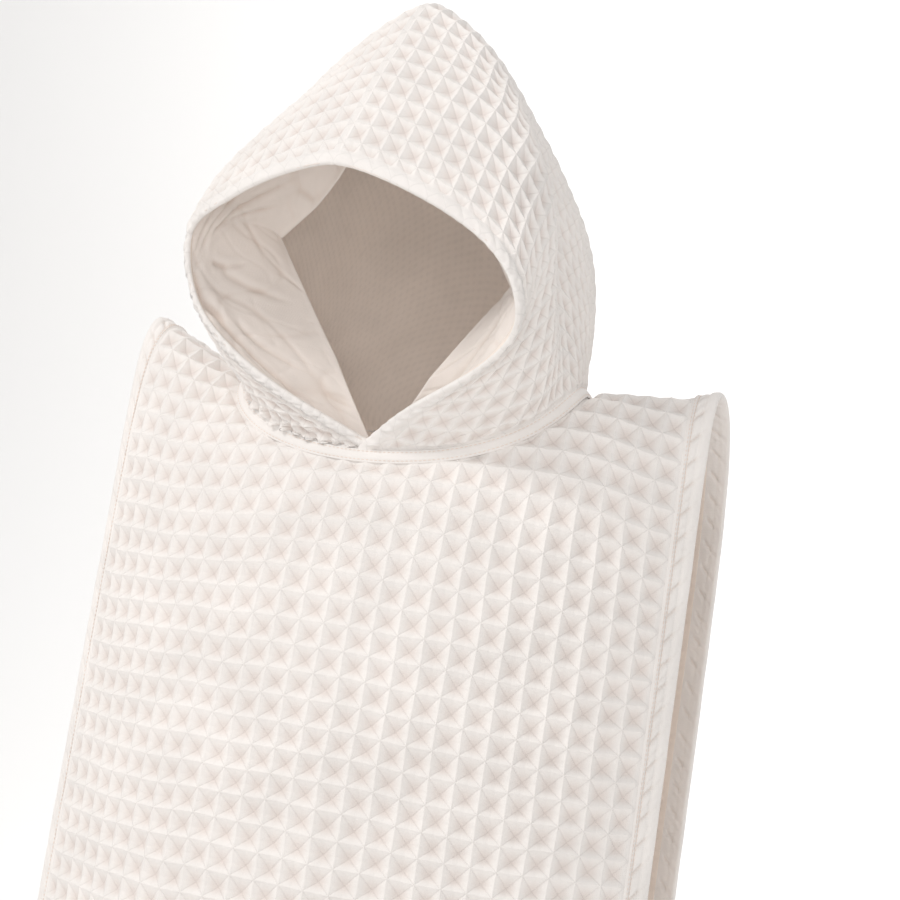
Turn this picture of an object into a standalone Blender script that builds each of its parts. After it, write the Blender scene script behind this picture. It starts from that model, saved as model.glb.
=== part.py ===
"""Hooded bath poncho for a small child, in waffle-weave cotton.

The poncho keeps the hollow form it has when worn, with no wearer inside. Lengths are in
millimetres and become metres in the meshes. +Z is up and -Y is the wearer's front. The
origin is the middle of the neck at shoulder height, where the wearer carries the cloth.
"""

import math

import bpy
import numpy as np

METRE = 0.001

# Cut of the body, one length of cloth folded over the shoulders
HALF_WIDTH = 231.0
PANEL_LENGTH = 580.0
HEM_WIDTH = 15.0
NECK_HALF_WIDTH = 133.0
NECK_FRONT_DROP = 84.0
NECK_BACK_DROP = 55.0
NECK_POWER = 0.88

# Walls and seams
CLOTH = 2.6
HEM_CLOTH = 3.4
FACING_CLOTH = 1.4
TAPE_CLOTH = 1.2
TAPE_WIDTH = 7.0
SEAM_GAP = 0.4
NECK_GAP = 1.0
SEAM_FLAT = 5.0
FOLD_FLAT = 2.0
FOLD_GAP = 1.4
SEAM_STRIP = 3.0

# Worn shape of the body
FRONT_RADIUS = 290.0
FRONT_CENTRE = -91.0
BACK_RADIUS = 520.0
BACK_CENTRE = 124.0
RIDGE_CENTRE = 4.0
RIDGE_END = 20.0
RIDGE_RISE = 34.0
RIDGE_RISE_POWER = 2.4
RIDGE_SPREAD = 0.896
RIDGE_REACH = 70.0
NECK_TILT = 7.0
NECK_LIFT = 1.2
SHOULDER_TILT = -5.0
TILT_REACH = 260.0
HEM_FLARE = 7.0
TURN_LENGTH = 1.3708  # how far out cloth goes that turns down over a length of 1

# Hood
HOOD_TURN = math.radians(-10.0)
HOOD_TURN_HEIGHT = 110.0
LAP_SIDE = 7.0
LAP_DEPTH = 5.5
LAP_REACH = 0.30
LIFT_REACH = 0.6
FACING_GAP = 2.0
FACING_FOLLOWS = 1.78
FACING_LEAVES = 1.5
TAPE_JOIN = 4.0
TAPE_GAP = 2.0
TAPE_LIFT = 3.0

# Grid counts
NECK_COLUMNS = 19
SHOULDER_COLUMNS = 4
BODY_ROWS = 9
NECK_SPREAD = 158.0
LEAVE_NECK = 8.0
CORNER_OPEN = 0.6
CORNER_LEAVE = 0.8
CORNER_LEAN = 45.0
SHOULDER_LEANS = (22.0, 8.0)
FOLD_STRIP = 1.2
FAN_REACH = 150.0
HOOD_ROWS = 19
HOOD_COLUMNS = 19
FACING_COLUMNS = 5
TAPE_STEPS = 29

# Lengths down the cloth, from the shoulder fold, that the rows of the panels and hems share
FOLD_ROWS = (2.0, 6.0, 11.0, 18.0, 28.0, 42.0, 62.0)

COLLECTION = "hooded_bath_poncho"
OFF_WHITE = (0.93, 0.90, 0.86)
PALE = (0.86, 0.82, 0.77)

# Soft folds of the body: side (1 front, -1 back), place across at the shoulder and at the
# hem, width, depth (outwards is positive), and the lengths down where it starts and is full
FOLDS = (
    # side, top, bottom, width, depth, start, full
    (1, -62.0, -96.0, 46.0, 3.5, 150.0, 420.0),
    (1, 88.0, 60.0, 52.0, -3.0, 120.0, 460.0),
    (1, 176.0, 168.0, 30.0, 2.5, 60.0, 360.0),
    (1, -182.0, -170.0, 34.0, -2.5, 90.0, 420.0),
    (-1, -110.0, -150.0, 42.0, 11.0, 70.0, 380.0),
    (-1, -20.0, -48.0, 44.0, -10.0, 90.0, 360.0),
    (-1, 58.0, 62.0, 40.0, 12.0, 80.0, 420.0),
    (-1, 140.0, 158.0, 36.0, -9.0, 60.0, 380.0),
)

# Ribs of a hood half, from the edge of the opening to the back of the neck: the angle round
# the neck where the rib leaves it, the curve's two handles, and its end on the centre seam
RIBS = (
    # neck, near neck x, y, z, near seam x, y, z, seam y, z
    (0.0, 70.0, -90.0, 4.0, 250.0, -108.0, 67.0, -136.0, 133.0),
    (27.0, 122.0, -79.0, 21.0, 199.0, -95.0, 134.0, -110.0, 181.0),
    (52.0, 130.0, -52.0, 56.0, 156.0, -71.0, 182.0, -89.0, 216.0),
    (75.0, 109.0, -40.0, 89.0, 113.0, -55.0, 206.0, -52.0, 260.0),
    (95.0, 115.0, 9.0, 99.0, 100.0, 11.0, 187.0, 0.0, 222.0),
    (113.0, 107.0, 45.0, 81.0, 96.0, 70.0, 152.0, 57.0, 167.0),
    (133.0, 87.0, 59.0, 43.0, 67.0, 88.0, 88.0, 82.0, 92.0),
    (155.0, 54.0, 54.0, 10.0, 28.0, 72.0, 34.0, 77.0, 34.0),
    (177.0, 5.0, 54.0, -16.0, 2.0, 54.0, -12.0, 55.0, -9.0),
)

# How the edge of the opening sways, for the wearer's left (1) and right (-1): out from the
# centre, and up
SWAY_PLACES = (0.0, 0.2, 0.4, 0.6, 0.8, 1.0)
EDGE_SWAY = {
    1: ((0.0, 0.0), (-16.0, -2.0), (-7.0, -5.0), (1.0, -10.0), (2.0, -5.0), (0.0, 0.0)),
    -1: ((0.0, 0.0), (16.0, 3.0), (14.0, 10.0), (1.0, 26.0), (-14.0, 15.0), (0.0, 0.0)),
}
SWAY_REACH = 2.4

# Free edge of the facing inside each hood half, from the neck up to the centre seam, in
# straight pulls; x is out from the centre
FACING_EDGE = {
    # along the opening, x, y, z
    1: (
        (0.0, 2.0, -47.0, -38.0),
        (0.28, 36.0, -50.0, 9.0),
        (0.56, 88.0, -42.0, 72.0),
        (0.8, 58.0, -62.0, 126.0),
        (1.0, 0.0, -100.0, 166.0),
    ),
    -1: (
        (0.0, 5.0, -45.0, -38.0),
        (0.28, 43.0, -36.0, 19.0),
        (0.56, 99.0, -42.0, 98.0),
        (0.8, 52.0, -60.0, 126.0),
        (1.0, 0.0, -100.0, 166.0),
    ),
}


def ease(share):
    """0 to 1 with level ends."""
    share = np.clip(share, 0.0, 1.0)
    return share * share * (3.0 - 2.0 * share)


def unit(vectors):
    return vectors / np.linalg.norm(vectors, axis=-1, keepdims=True)


def columns_at(rows, key, places):
    """Smooth curve through the rows of a table: its first column is the place along it."""
    table = np.array(rows, float)
    knots = table[:, 0] if key is None else np.asarray(key, float)
    slopes = np.gradient(table, knots, axis=0)
    places = np.clip(places, knots[0], knots[-1])
    span = np.clip(np.searchsorted(knots, places, side="right") - 1, 0, len(knots) - 2)
    step = (knots[span + 1] - knots[span])[..., None]
    q = (places[..., None] - knots[span][..., None]) / step
    start, end = table[span], table[span + 1]
    blend = q * q * (3.0 - 2.0 * q)
    return (
        start * (1.0 - blend)
        + end * blend
        + slopes[span] * step * q * (1.0 - q) ** 2
        - slopes[span + 1] * step * q * q * (1.0 - q)
    )


# ---------------------------------------------------------------- body cloth


def body_table():
    """Points of the worn body cloth on an even net of places across and along the cloth.

    A column leaves the shoulder ridge level and turns down over a length that carries it out
    to the plan curve of its panel, an arc across the chest or the back.
    """
    across = np.linspace(-HALF_WIDTH, HALF_WIDTH, 155)[:, None]
    down = np.linspace(0.0, PANEL_LENGTH, 291)[None, :]
    share = np.abs(across) / HALF_WIDTH
    ridge_x = across * RIDGE_SPREAD
    ridge_y = RIDGE_CENTRE + (RIDGE_END - RIDGE_CENTRE) * share**2
    neck_share = np.clip(across / NECK_HALF_WIDTH, -1.0, 1.0)
    outside = ease((np.abs(across) - NECK_HALF_WIDTH) / (HALF_WIDTH - NECK_HALF_WIDTH))
    tilt = NECK_TILT * neck_share * (1.0 - outside) + SHOULDER_TILT * np.sign(across) * outside
    sides = []
    for side, radius, centre in ((-1, BACK_RADIUS, BACK_CENTRE), (1, FRONT_RADIUS, FRONT_CENTRE)):
        front_end = FRONT_RADIUS * math.sin(HALF_WIDTH / FRONT_RADIUS)
        plan_x = front_end * np.sin(across / radius) / math.sin(HALF_WIDTH / radius)
        plan_y = centre + side * radius * (1.0 - np.cos(across / radius))
        reach = np.abs(plan_y - ridge_y)
        length = reach / TURN_LENGTH
        angle = 0.5 * math.pi * (1.0 - np.exp(-np.maximum(down - FOLD_FLAT, 0.0) / length))
        step = down[0, 1] - down[0, 0]
        out = running_sum(np.cos(angle), step)
        fall = running_sum(np.sin(angle), step)
        near = np.exp(-down / RIDGE_REACH)
        flare = HEM_FLARE * (across / HALF_WIDTH) * (down / PANEL_LENGTH)
        x = ridge_x * near + plan_x * (1.0 - near) + flare
        y = ridge_y - side * (out + fold_height(side, across, down))
        z = RIDGE_RISE * share**RIDGE_RISE_POWER + tilt * (1.0 - ease(down / TILT_REACH)) - fall
        points = np.stack(np.broadcast_arrays(x, y, z), axis=-1)
        sides.append(points)
    back, front = sides
    return np.concatenate([back[:, :0:-1], front], axis=1)


def running_sum(values, step):
    """Trapezoid sum along the last axis, starting at 0."""
    middle = 0.5 * (values[..., 1:] + values[..., :-1]) * step
    return np.concatenate([np.zeros_like(values[..., :1]), np.cumsum(middle, axis=-1)], axis=-1)


def fold_height(side, across, down):
    """Sum of the soft folds of one panel, each a smooth ridge or trough that grows downwards."""
    height = np.zeros(np.broadcast(across, down).shape)
    for fold_side, top, bottom, width, depth, start, full in FOLDS:
        if fold_side == side:
            centre = top + (bottom - top) * down / PANEL_LENGTH
            grown = ease((down - start) / (full - start))
            height = height + depth * grown * np.exp(-(((across - centre) / width) ** 2))
    return height


BODY = body_table()


def body_at(across, down):
    """Point of the worn body at a place on the flat cloth: down is negative on the back."""
    i = (np.asarray(across, float) + HALF_WIDTH) / (2.0 * HALF_WIDTH) * (BODY.shape[0] - 1)
    j = (np.asarray(down, float) + PANEL_LENGTH) / (2.0 * PANEL_LENGTH) * (BODY.shape[1] - 1)
    i, j = np.broadcast_arrays(i, j)
    i0 = np.clip(i.astype(int), 0, BODY.shape[0] - 2)
    j0 = np.clip(j.astype(int), 0, BODY.shape[1] - 2)
    p = (i - i0)[..., None]
    q = (j - j0)[..., None]
    low = BODY[i0, j0] * (1.0 - q) + BODY[i0, j0 + 1] * q
    high = BODY[i0 + 1, j0] * (1.0 - q) + BODY[i0 + 1, j0 + 1] * q
    return low * (1.0 - p) + high * p


# ---------------------------------------------------------------- neck seam


def neck_cut(angle):
    """The neckline on the flat cloth: 0 degrees is the centre front and 90 a shoulder."""
    turn = np.radians(angle)
    across = NECK_HALF_WIDTH * np.sin(turn)
    drop = np.where(np.cos(turn) > 0.0, NECK_FRONT_DROP, NECK_BACK_DROP)
    down = drop * np.sign(np.cos(turn)) * np.abs(np.cos(turn)) ** NECK_POWER
    return across, down


def neck_at(angle):
    return body_at(*neck_cut(angle))


def neck_frame(angle):
    """Along, up and outward directions of the neck seam, between the hood and the body."""
    angle = np.asarray(angle, float)
    along = unit(neck_at(angle + 1.0) - neck_at(angle - 1.0))
    across, down = neck_cut(angle)
    turn = np.radians(angle)
    inwards = body_at(across - 5.0 * np.sin(turn), down - 5.0 * np.cos(turn)) - neck_at(angle)
    body_up = unit(inwards - along * np.sum(inwards * along, axis=-1, keepdims=True))
    lift = np.array([0.0, 0.0, 1.0]) - along * along[..., 2:3]
    up = unit(body_up + NECK_LIFT * unit(lift))
    outward = unit(np.cross(along, up))
    return along, up, outward


# ---------------------------------------------------------------- hood


def bezier(start, near_start, near_end, end, t):
    t = t[..., None]
    return (
        start * (1.0 - t) ** 3
        + 3.0 * near_start * t * (1.0 - t) ** 2
        + 3.0 * near_end * t * t * (1.0 - t)
        + end * t**3
    )


def hood_rib(place, t):
    """Point of the right hood half: place runs from the opening to the nape, t from neck to seam."""
    row = columns_at(RIBS, np.arange(len(RIBS)), place)
    start = neck_at(row[..., 0])
    end = np.stack([np.zeros_like(row[..., 7]), row[..., 7], row[..., 8]], axis=-1)
    return bezier(start, row[..., 1:4], row[..., 4:7], end, t)


def turned(points, base):
    """The hood turned about the neck's axis, more with height above its base."""
    share = ease((points[..., 2] - base) / HOOD_TURN_HEIGHT)
    angle = HOOD_TURN * share
    x = points[..., 0] * np.cos(angle) - points[..., 1] * np.sin(angle)
    y = points[..., 0] * np.sin(angle) + points[..., 1] * np.cos(angle)
    return np.stack([x, y, points[..., 2]], axis=-1)


def lapped(points, side, place, t):
    """The front corners pass each other at the centre front, the wearer's left one outside."""
    reach = np.clip(1.0 - t / LAP_REACH, 0.0, 1.0) ** 2 * np.clip(1.0 - place / 1.2, 0.0, 1.0)
    moved = points.copy()
    moved[..., 0] -= side * LAP_SIDE * reach
    moved[..., 1] += (LAP_DEPTH if side < 0 else 0.0) * reach
    return moved


def hood_at(side, place, t, aside=0.0):
    """Point of a hood half, side 1 towards +X and -1 towards -X, moved aside from its middle plane."""
    place, t = np.broadcast_arrays(np.asarray(place, float), np.asarray(t, float))
    points = hood_rib(place, t)
    angle = columns_at([[row[0]] for row in RIBS], np.arange(len(RIBS)), place)[..., 0]
    base = neck_at(side * angle)
    across = neck_at(-side * angle)
    sway = columns_at(EDGE_SWAY[side], SWAY_PLACES, t) * (ease(1.0 - place / SWAY_REACH))[..., None]
    points = points + np.stack([sway[..., 0], np.zeros_like(t), sway[..., 1]], axis=-1)
    points = points * np.array([side, 1.0, 1.0]) + np.array([side * aside, 0.0, 0.0])
    low = neck_at(angle) * np.array([side, 1.0, 1.0])
    points = points + (base - low) * (1.0 - t[..., None]) ** 3
    _, up, _ = neck_frame(side * angle)
    lift = SEAM_FLAT * np.clip(1.0 - t / LIFT_REACH, 0.0, 1.0) ** 2
    points = points + up * lift[..., None]
    return lapped(turned(points, 0.5 * (base[..., 2] + across[..., 2])), side, place, t)


# ---------------------------------------------------------------- meshes


def cloth_piece(name, grid, thickness, colour, offset=0.0):
    """One closed wall of cloth from a net of middle points, with its own material."""
    rows, columns = grid.shape[:2]
    index = np.arange(rows * columns).reshape(rows, columns)
    quads = np.stack([index[:-1, :-1], index[1:, :-1], index[1:, 1:], index[:-1, 1:]], axis=-1)
    mesh = bpy.data.meshes.new(name)
    mesh.from_pydata((grid.reshape(-1, 3) * METRE).tolist(), [], quads.reshape(-1, 4).tolist())
    mesh.shade_smooth()
    piece = bpy.data.objects.new(name, mesh)
    bpy.data.collections[COLLECTION].objects.link(piece)
    wall = piece.modifiers.new("cloth", "SOLIDIFY")
    wall.thickness = thickness * METRE
    wall.offset = offset
    wall.use_even_offset = False
    material = bpy.data.materials.new(name)
    material.use_nodes = True
    shader = material.node_tree.nodes["Principled BSDF"]
    shader.inputs["Base Color"].default_value = (*colour, 1.0)
    shader.inputs["Roughness"].default_value = 0.9
    shader.inputs["Metallic"].default_value = 0.0
    mesh.materials.append(material)
    return piece


def shared_rows(bottom):
    """Lengths down the cloth of the rows, close together over the shoulder."""
    return np.concatenate([FOLD_ROWS, np.linspace(FOLD_ROWS[-1] + 28.0, bottom, BODY_ROWS)])


def panel_columns():
    """Starts, ends and leans of a panel's columns.

    A column starts on the neckline or the shoulder fold, leans outwards there by its angle in
    degrees, and ends at the bottom hem.
    """
    inner = HALF_WIDTH - HEM_WIDTH - 0.5 * SEAM_GAP
    angle = np.linspace(0.0, 90.0, NECK_COLUMNS // 2 + 1)
    shoulder = np.linspace(NECK_HALF_WIDTH, inner, SHOULDER_COLUMNS + 1)[1:]
    spread = (inner - NECK_SPREAD) / (inner - NECK_HALF_WIDTH)
    start = np.concatenate([NECK_HALF_WIDTH * np.sin(np.radians(angle)), shoulder])
    foot = NECK_SPREAD + (shoulder - NECK_HALF_WIDTH) * spread
    end = np.concatenate([np.linspace(0.0, NECK_SPREAD, len(angle)), foot])
    lean = np.zeros(len(start))
    lean[: len(angle)] = angle - CORNER_LEAN * (angle / 90.0) ** 4
    lean[len(angle) : len(angle) + len(SHOULDER_LEANS)] = SHOULDER_LEANS
    return [np.concatenate([-half[:0:-1], half]) for half in (start, end, lean)]


def body_panel(name, side):
    """Front or back: from the neckline and the shoulder fold down to the bottom hem.

    Columns leave the neckline square to it and fan out to even places at the bottom. Two
    rows along the top keep the cloth flat into the neck seam and over the fold.
    """
    start, end, lean = panel_columns()
    in_neck = np.abs(start) <= NECK_HALF_WIDTH
    corner = (np.abs(start) == NECK_HALF_WIDTH)[:, None]
    angle = np.degrees(np.arcsin(np.clip(start / NECK_HALF_WIDTH, -1.0, 1.0)))
    angle = angle if side > 0 else 180.0 - angle
    cut = np.where(in_neck, np.abs(neck_cut(angle)[1]), 0.0)[:, None]
    bottom = PANEL_LENGTH - HEM_WIDTH - 0.5 * SEAM_GAP
    rows = shared_rows(bottom)[None, :]
    ahead = rows + LEAVE_NECK * in_neck[:, None]
    lean = np.radians(lean)[:, None]
    blend = ease(rows / FAN_REACH)
    across = (start[:, None] + np.sin(lean) * ahead) * (1.0 - blend) + end[:, None] * blend
    even = cut + (bottom - cut) * rows / bottom
    down = (cut + np.cos(lean) * ahead) * (1.0 - blend) + even * blend
    _, up, _ = neck_frame(angle)
    seam = neck_at(angle)
    away = (body_at(start, side * SEAM_FLAT) - body_at(start, 0.0)) * corner
    in_neck = in_neck[:, None]
    edge = seam - up * (NECK_GAP / 2.0) + away * CORNER_OPEN
    edge = np.where(in_neck, edge, body_at(start, side * FOLD_GAP / 2.0))
    flat = seam - up * SEAM_FLAT + away * CORNER_LEAVE
    flat = np.where(in_neck, flat, body_at(start, side * FOLD_STRIP))
    net = body_at(across, side * down)
    net = np.concatenate([edge[:, None], flat[:, None], net], axis=1)
    return cloth_piece(name, net if side < 0 else net[::-1], CLOTH, OFF_WHITE)


def side_hem(name, side):
    """Turned side hem, in one length from the front's foot over the shoulder to the back's."""
    rows = shared_rows(PANEL_LENGTH - HEM_WIDTH)
    half = np.concatenate([[0.0, 0.5 * FOLD_FLAT], rows, [PANEL_LENGTH]])
    down = np.concatenate([-half[:0:-1], half])
    inner = HALF_WIDTH - HEM_WIDTH + SEAM_GAP / 2.0
    across = side * np.linspace(inner, HALF_WIDTH, 3)
    net = body_at(across[:, None], down[None, :])[:, ::-1]
    return cloth_piece(name, net if side > 0 else net[::-1], HEM_CLOTH, PALE)


def bottom_hem(name, side):
    """Turned bottom hem of one panel, between the side hems."""
    _, across, _ = panel_columns()
    down = side * np.linspace(PANEL_LENGTH - HEM_WIDTH + SEAM_GAP / 2.0, PANEL_LENGTH, 3)
    net = body_at(across[:, None], down[None, :])
    return cloth_piece(name, net if side < 0 else net[::-1], HEM_CLOTH, PALE)


def hood_half(name, side):
    """A hood half, with narrow flat strips along the neck seam and the centre seam."""
    place = np.linspace(0.0, len(RIBS) - 1.0, HOOD_ROWS)[:, None]
    t = np.linspace(0.0, 1.0, HOOD_COLUMNS)[None, :]
    net = hood_at(side, place, t)
    ring = columns_at([[row[0]] for row in RIBS], np.arange(len(RIBS)), place[:, 0])[:, 0]
    _, up, _ = neck_frame(side * ring)
    edge = net[:, 0] - up * (SEAM_FLAT - NECK_GAP / 2.0)
    strip = hood_at(side, place[:, 0], np.ones(HOOD_ROWS), SEAM_STRIP)
    seam = hood_at(side, place[:, 0], np.ones(HOOD_ROWS), SEAM_GAP / 2.0)
    net = np.concatenate([edge[:, None], net[:, :-1], strip[:, None], seam[:, None]], axis=1)
    return cloth_piece(name, net if side < 0 else net[::-1], CLOTH, OFF_WHITE)


def facing_at(side, t, q, aside=0.0):
    """Point of the facing: t runs from the neck to the centre seam, q from the opening inwards."""
    t, q = np.broadcast_arrays(t, q)
    place = q * FACING_FOLLOWS
    wall = hood_at(side, place, t, aside)
    ahead = hood_at(side, place + 0.05, t, aside) - wall
    behind = hood_at(side, place, t - 0.01, aside)
    along = hood_at(side, place, np.minimum(t + 0.01, 1.0), aside) - behind
    inwards = unit(np.cross(along, ahead)) * side
    near = wall + inwards * (0.5 * (CLOTH + FACING_CLOTH) + FACING_GAP)
    pulls = np.array(FACING_EDGE[side])
    free = np.stack([np.interp(t, pulls[:, 0], pulls[:, i]) for i in (1, 2, 3)], axis=-1)
    free = free * np.array([side, 1.0, 1.0]) + np.array([side * aside, 0.0, 0.0])
    free = turned(free, neck_at(0.0)[2])
    leave = (q**FACING_LEAVES)[..., None]
    return near * (1.0 - leave) + free * leave


def facing(name, side):
    """Plain facing of the opening, whose free edge pulls straight inside the hood."""
    t = np.linspace(0.0, 1.0, HOOD_COLUMNS)[1:, None]
    q = np.linspace(0.0, 1.0, FACING_COLUMNS)[None, :]
    net = facing_at(side, t, q)
    net[-1] = facing_at(side, np.ones_like(q), q, FACING_GAP)[0]
    net[-2] = facing_at(side, np.ones_like(q), q, SEAM_STRIP)[0]
    return cloth_piece(name, net if side < 0 else net[::-1], FACING_CLOTH, PALE)


def neck_tape(name, side):
    """Flat tape over the neck seam, from the centre front round to the nape."""
    ends = (TAPE_JOIN, 180.0) if side > 0 else (TAPE_JOIN, -180.0)
    gap = math.degrees(SEAM_GAP / NECK_HALF_WIDTH)
    angle = np.linspace(ends[0] + side * gap, ends[1] - side * gap, TAPE_STEPS)
    _, up, outward = neck_frame(angle)
    middle = neck_at(angle) + outward * (0.5 * (CLOTH + TAPE_CLOTH) + TAPE_GAP)
    middle = middle + up * (TAPE_LIFT * np.sin(np.radians(angle)) ** 12)[:, None]
    half = up * (TAPE_WIDTH / 2.0)
    net = np.stack([middle - half, middle, middle + half], axis=1)
    return cloth_piece(name, net if side > 0 else net[::-1], TAPE_CLOTH, PALE)


def main():
    for thing in list(bpy.data.objects):
        bpy.data.objects.remove(thing, do_unlink=True)
    collection = bpy.data.collections.new(COLLECTION)
    bpy.context.scene.collection.children.link(collection)
    body_panel("front", 1)
    body_panel("back", -1)
    side_hem("side_hem_left", 1)
    side_hem("side_hem_right", -1)
    bottom_hem("bottom_hem_front", 1)
    bottom_hem("bottom_hem_back", -1)
    hood_half("hood_left", 1)
    hood_half("hood_right", -1)
    facing("facing_left", 1)
    facing("facing_right", -1)
    neck_tape("neck_tape_left", 1)
    neck_tape("neck_tape_right", -1)


main()
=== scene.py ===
"""Hooded bath poncho in honeycomb-woven cotton, hollow and in the shape it has when worn.

Lengths inside the geometry functions are millimetres; meshes are in metres. +Z is up, -Y is
the wearer's front and +X the wearer's left. Every surface is a function of two parameters on
a grid: the cut cloth's own places across and along it.
"""

import math

import bpy
import numpy as np
from bpy.props import FloatProperty, PointerProperty, StringProperty
from mathutils import Matrix, Vector


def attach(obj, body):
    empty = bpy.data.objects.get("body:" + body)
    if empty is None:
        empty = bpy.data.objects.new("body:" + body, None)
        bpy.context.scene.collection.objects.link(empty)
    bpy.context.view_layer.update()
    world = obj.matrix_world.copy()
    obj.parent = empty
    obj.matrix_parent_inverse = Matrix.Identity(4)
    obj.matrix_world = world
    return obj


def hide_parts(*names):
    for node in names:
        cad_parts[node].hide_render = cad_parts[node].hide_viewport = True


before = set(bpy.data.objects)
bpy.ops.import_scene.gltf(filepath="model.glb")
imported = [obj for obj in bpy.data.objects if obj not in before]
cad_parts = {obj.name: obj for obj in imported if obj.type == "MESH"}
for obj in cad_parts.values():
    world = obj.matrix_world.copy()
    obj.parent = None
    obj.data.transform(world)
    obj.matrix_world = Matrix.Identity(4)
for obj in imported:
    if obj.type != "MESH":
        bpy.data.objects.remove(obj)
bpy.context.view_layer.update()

bl_info = {
    "name": "Hooded Bath Poncho",
    "version": (1, 0, 0),
    "blender": (4, 5, 0),
    "location": "View3D > Sidebar > Poncho",
    "description": "Builds a child's hooded bath poncho of honeycomb cotton in its worn shape",
    "category": "Add Mesh",
}

MM = 0.001

# Cut of the body
HALF_WIDTH = 231.0
PANEL_LENGTH = 580.0
HEM_WIDTH = 15.0
NECK_HALF_WIDTH = 133.0
NECK_FRONT_DROP = 84.0
NECK_BACK_DROP = 55.0
NECK_POWER = 0.88

# Worn shape of the body
FRONT_RADIUS = 290.0
FRONT_CENTRE = -91.0
BACK_RADIUS = 520.0
BACK_CENTRE = 124.0
RIDGE_CENTRE = 4.0
RIDGE_END = 20.0
RIDGE_RISE = 34.0
RIDGE_RISE_POWER = 2.4
RIDGE_SPREAD = 0.896
RIDGE_REACH = 70.0
FOLD_FLAT = 2.0
NECK_TILT = 7.0
NECK_LIFT = 1.2
SHOULDER_TILT = -5.0
TILT_REACH = 260.0
HEM_FLARE = 7.0
TURN_LENGTH = 1.3708

# Hood
HOOD_TURN = math.radians(-10.0)
HOOD_TURN_HEIGHT = 110.0
SEAM_FLAT = 5.0
LAP_SIDE = 7.0
LAP_DEPTH = 5.5
LAP_REACH = 0.30
LIFT_REACH = 0.6
SWAY_REACH = 2.4
FACING_FOLLOWS = 1.78
FACING_LEAVES = 1.5
TAPE_JOIN = 4.0
TAPE_LIFT = 3.0
TAPE_OUT = 2.0
TAPE_HALF = 3.9
TAPE_STITCH_LIFT = 2.9

# Nominal sizes of the net on which the facing's creases and unevenness are placed
FACING_RUN = 300.0
FACING_REACH = 72.0
EDGE_RUN = 290.0

# Weave
CELL_STEPS = 6
HOOD_CELL_STEPS = 6
HOOD_CELL_SHARE = 0.86
WALL_SAG = 0.22
PIT_DROP = 0.07
ROW_DROOP = 19.0
ROW_DROOP_REACH = 300.0

# Point that the camera looks at, in metres
CAMERA_AIM = (0.0492, -0.0434, -0.0346)

# Soft folds of the body: side (1 front, -1 back), place across at the shoulder and at the
# hem, width, depth (outwards is positive), and the lengths down where it starts and is full
FOLDS = (
    # side, top, bottom, width, depth, start, full
    (1, -62.0, -96.0, 46.0, 3.5, 150.0, 420.0),
    (1, 88.0, 60.0, 52.0, -3.0, 120.0, 460.0),
    (1, 176.0, 168.0, 30.0, 2.5, 60.0, 360.0),
    (1, -182.0, -170.0, 34.0, -2.5, 90.0, 420.0),
    (-1, -110.0, -150.0, 42.0, 11.0, 70.0, 380.0),
    (-1, -20.0, -48.0, 44.0, -10.0, 90.0, 360.0),
    (-1, 58.0, 62.0, 40.0, 12.0, 80.0, 420.0),
    (-1, 140.0, 158.0, 36.0, -9.0, 60.0, 380.0),
)

# Ribs of a hood half: the angle round the neck where the rib leaves it, the curve's two
# handles, and its end on the centre seam
RIBS = (
    # neck, near neck x, y, z, near seam x, y, z, seam y, z
    (0.0, 70.0, -90.0, 4.0, 250.0, -108.0, 67.0, -136.0, 133.0),
    (27.0, 122.0, -79.0, 21.0, 199.0, -95.0, 134.0, -110.0, 181.0),
    (52.0, 130.0, -52.0, 56.0, 156.0, -71.0, 182.0, -89.0, 216.0),
    (75.0, 109.0, -40.0, 89.0, 113.0, -55.0, 206.0, -52.0, 260.0),
    (95.0, 115.0, 9.0, 99.0, 100.0, 11.0, 187.0, 0.0, 222.0),
    (113.0, 107.0, 45.0, 81.0, 96.0, 70.0, 152.0, 57.0, 167.0),
    (133.0, 87.0, 59.0, 43.0, 67.0, 88.0, 88.0, 82.0, 92.0),
    (155.0, 54.0, 54.0, 10.0, 28.0, 72.0, 34.0, 77.0, 34.0),
    (177.0, 5.0, 54.0, -16.0, 2.0, 54.0, -12.0, 55.0, -9.0),
)

# How the edge of the opening sways, for the wearer's left (1) and right (-1): out from the
# centre, and up
SWAY_PLACES = (0.0, 0.2, 0.4, 0.6, 0.8, 1.0)
EDGE_SWAY = {
    1: ((0.0, 0.0), (-16.0, -2.0), (-7.0, -5.0), (1.0, -10.0), (2.0, -5.0), (0.0, 0.0)),
    -1: ((0.0, 0.0), (16.0, 3.0), (14.0, 10.0), (1.0, 26.0), (-14.0, 15.0), (0.0, 0.0)),
}

# Free edge of the facing inside each hood half, from the neck up to the centre seam, in
# straight pulls; x is out from the centre
FACING_EDGE = {
    # along the opening, x, y, z
    1: (
        (0.0, 2.0, -47.0, -38.0),
        (0.28, 36.0, -50.0, 9.0),
        (0.56, 88.0, -42.0, 72.0),
        (0.8, 58.0, -62.0, 126.0),
        (1.0, 0.0, -100.0, 166.0),
    ),
    -1: (
        (0.0, 5.0, -45.0, -38.0),
        (0.28, 43.0, -36.0, 19.0),
        (0.56, 99.0, -42.0, 98.0),
        (0.8, 52.0, -60.0, 126.0),
        (1.0, 0.0, -100.0, 166.0),
    ),
}

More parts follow.
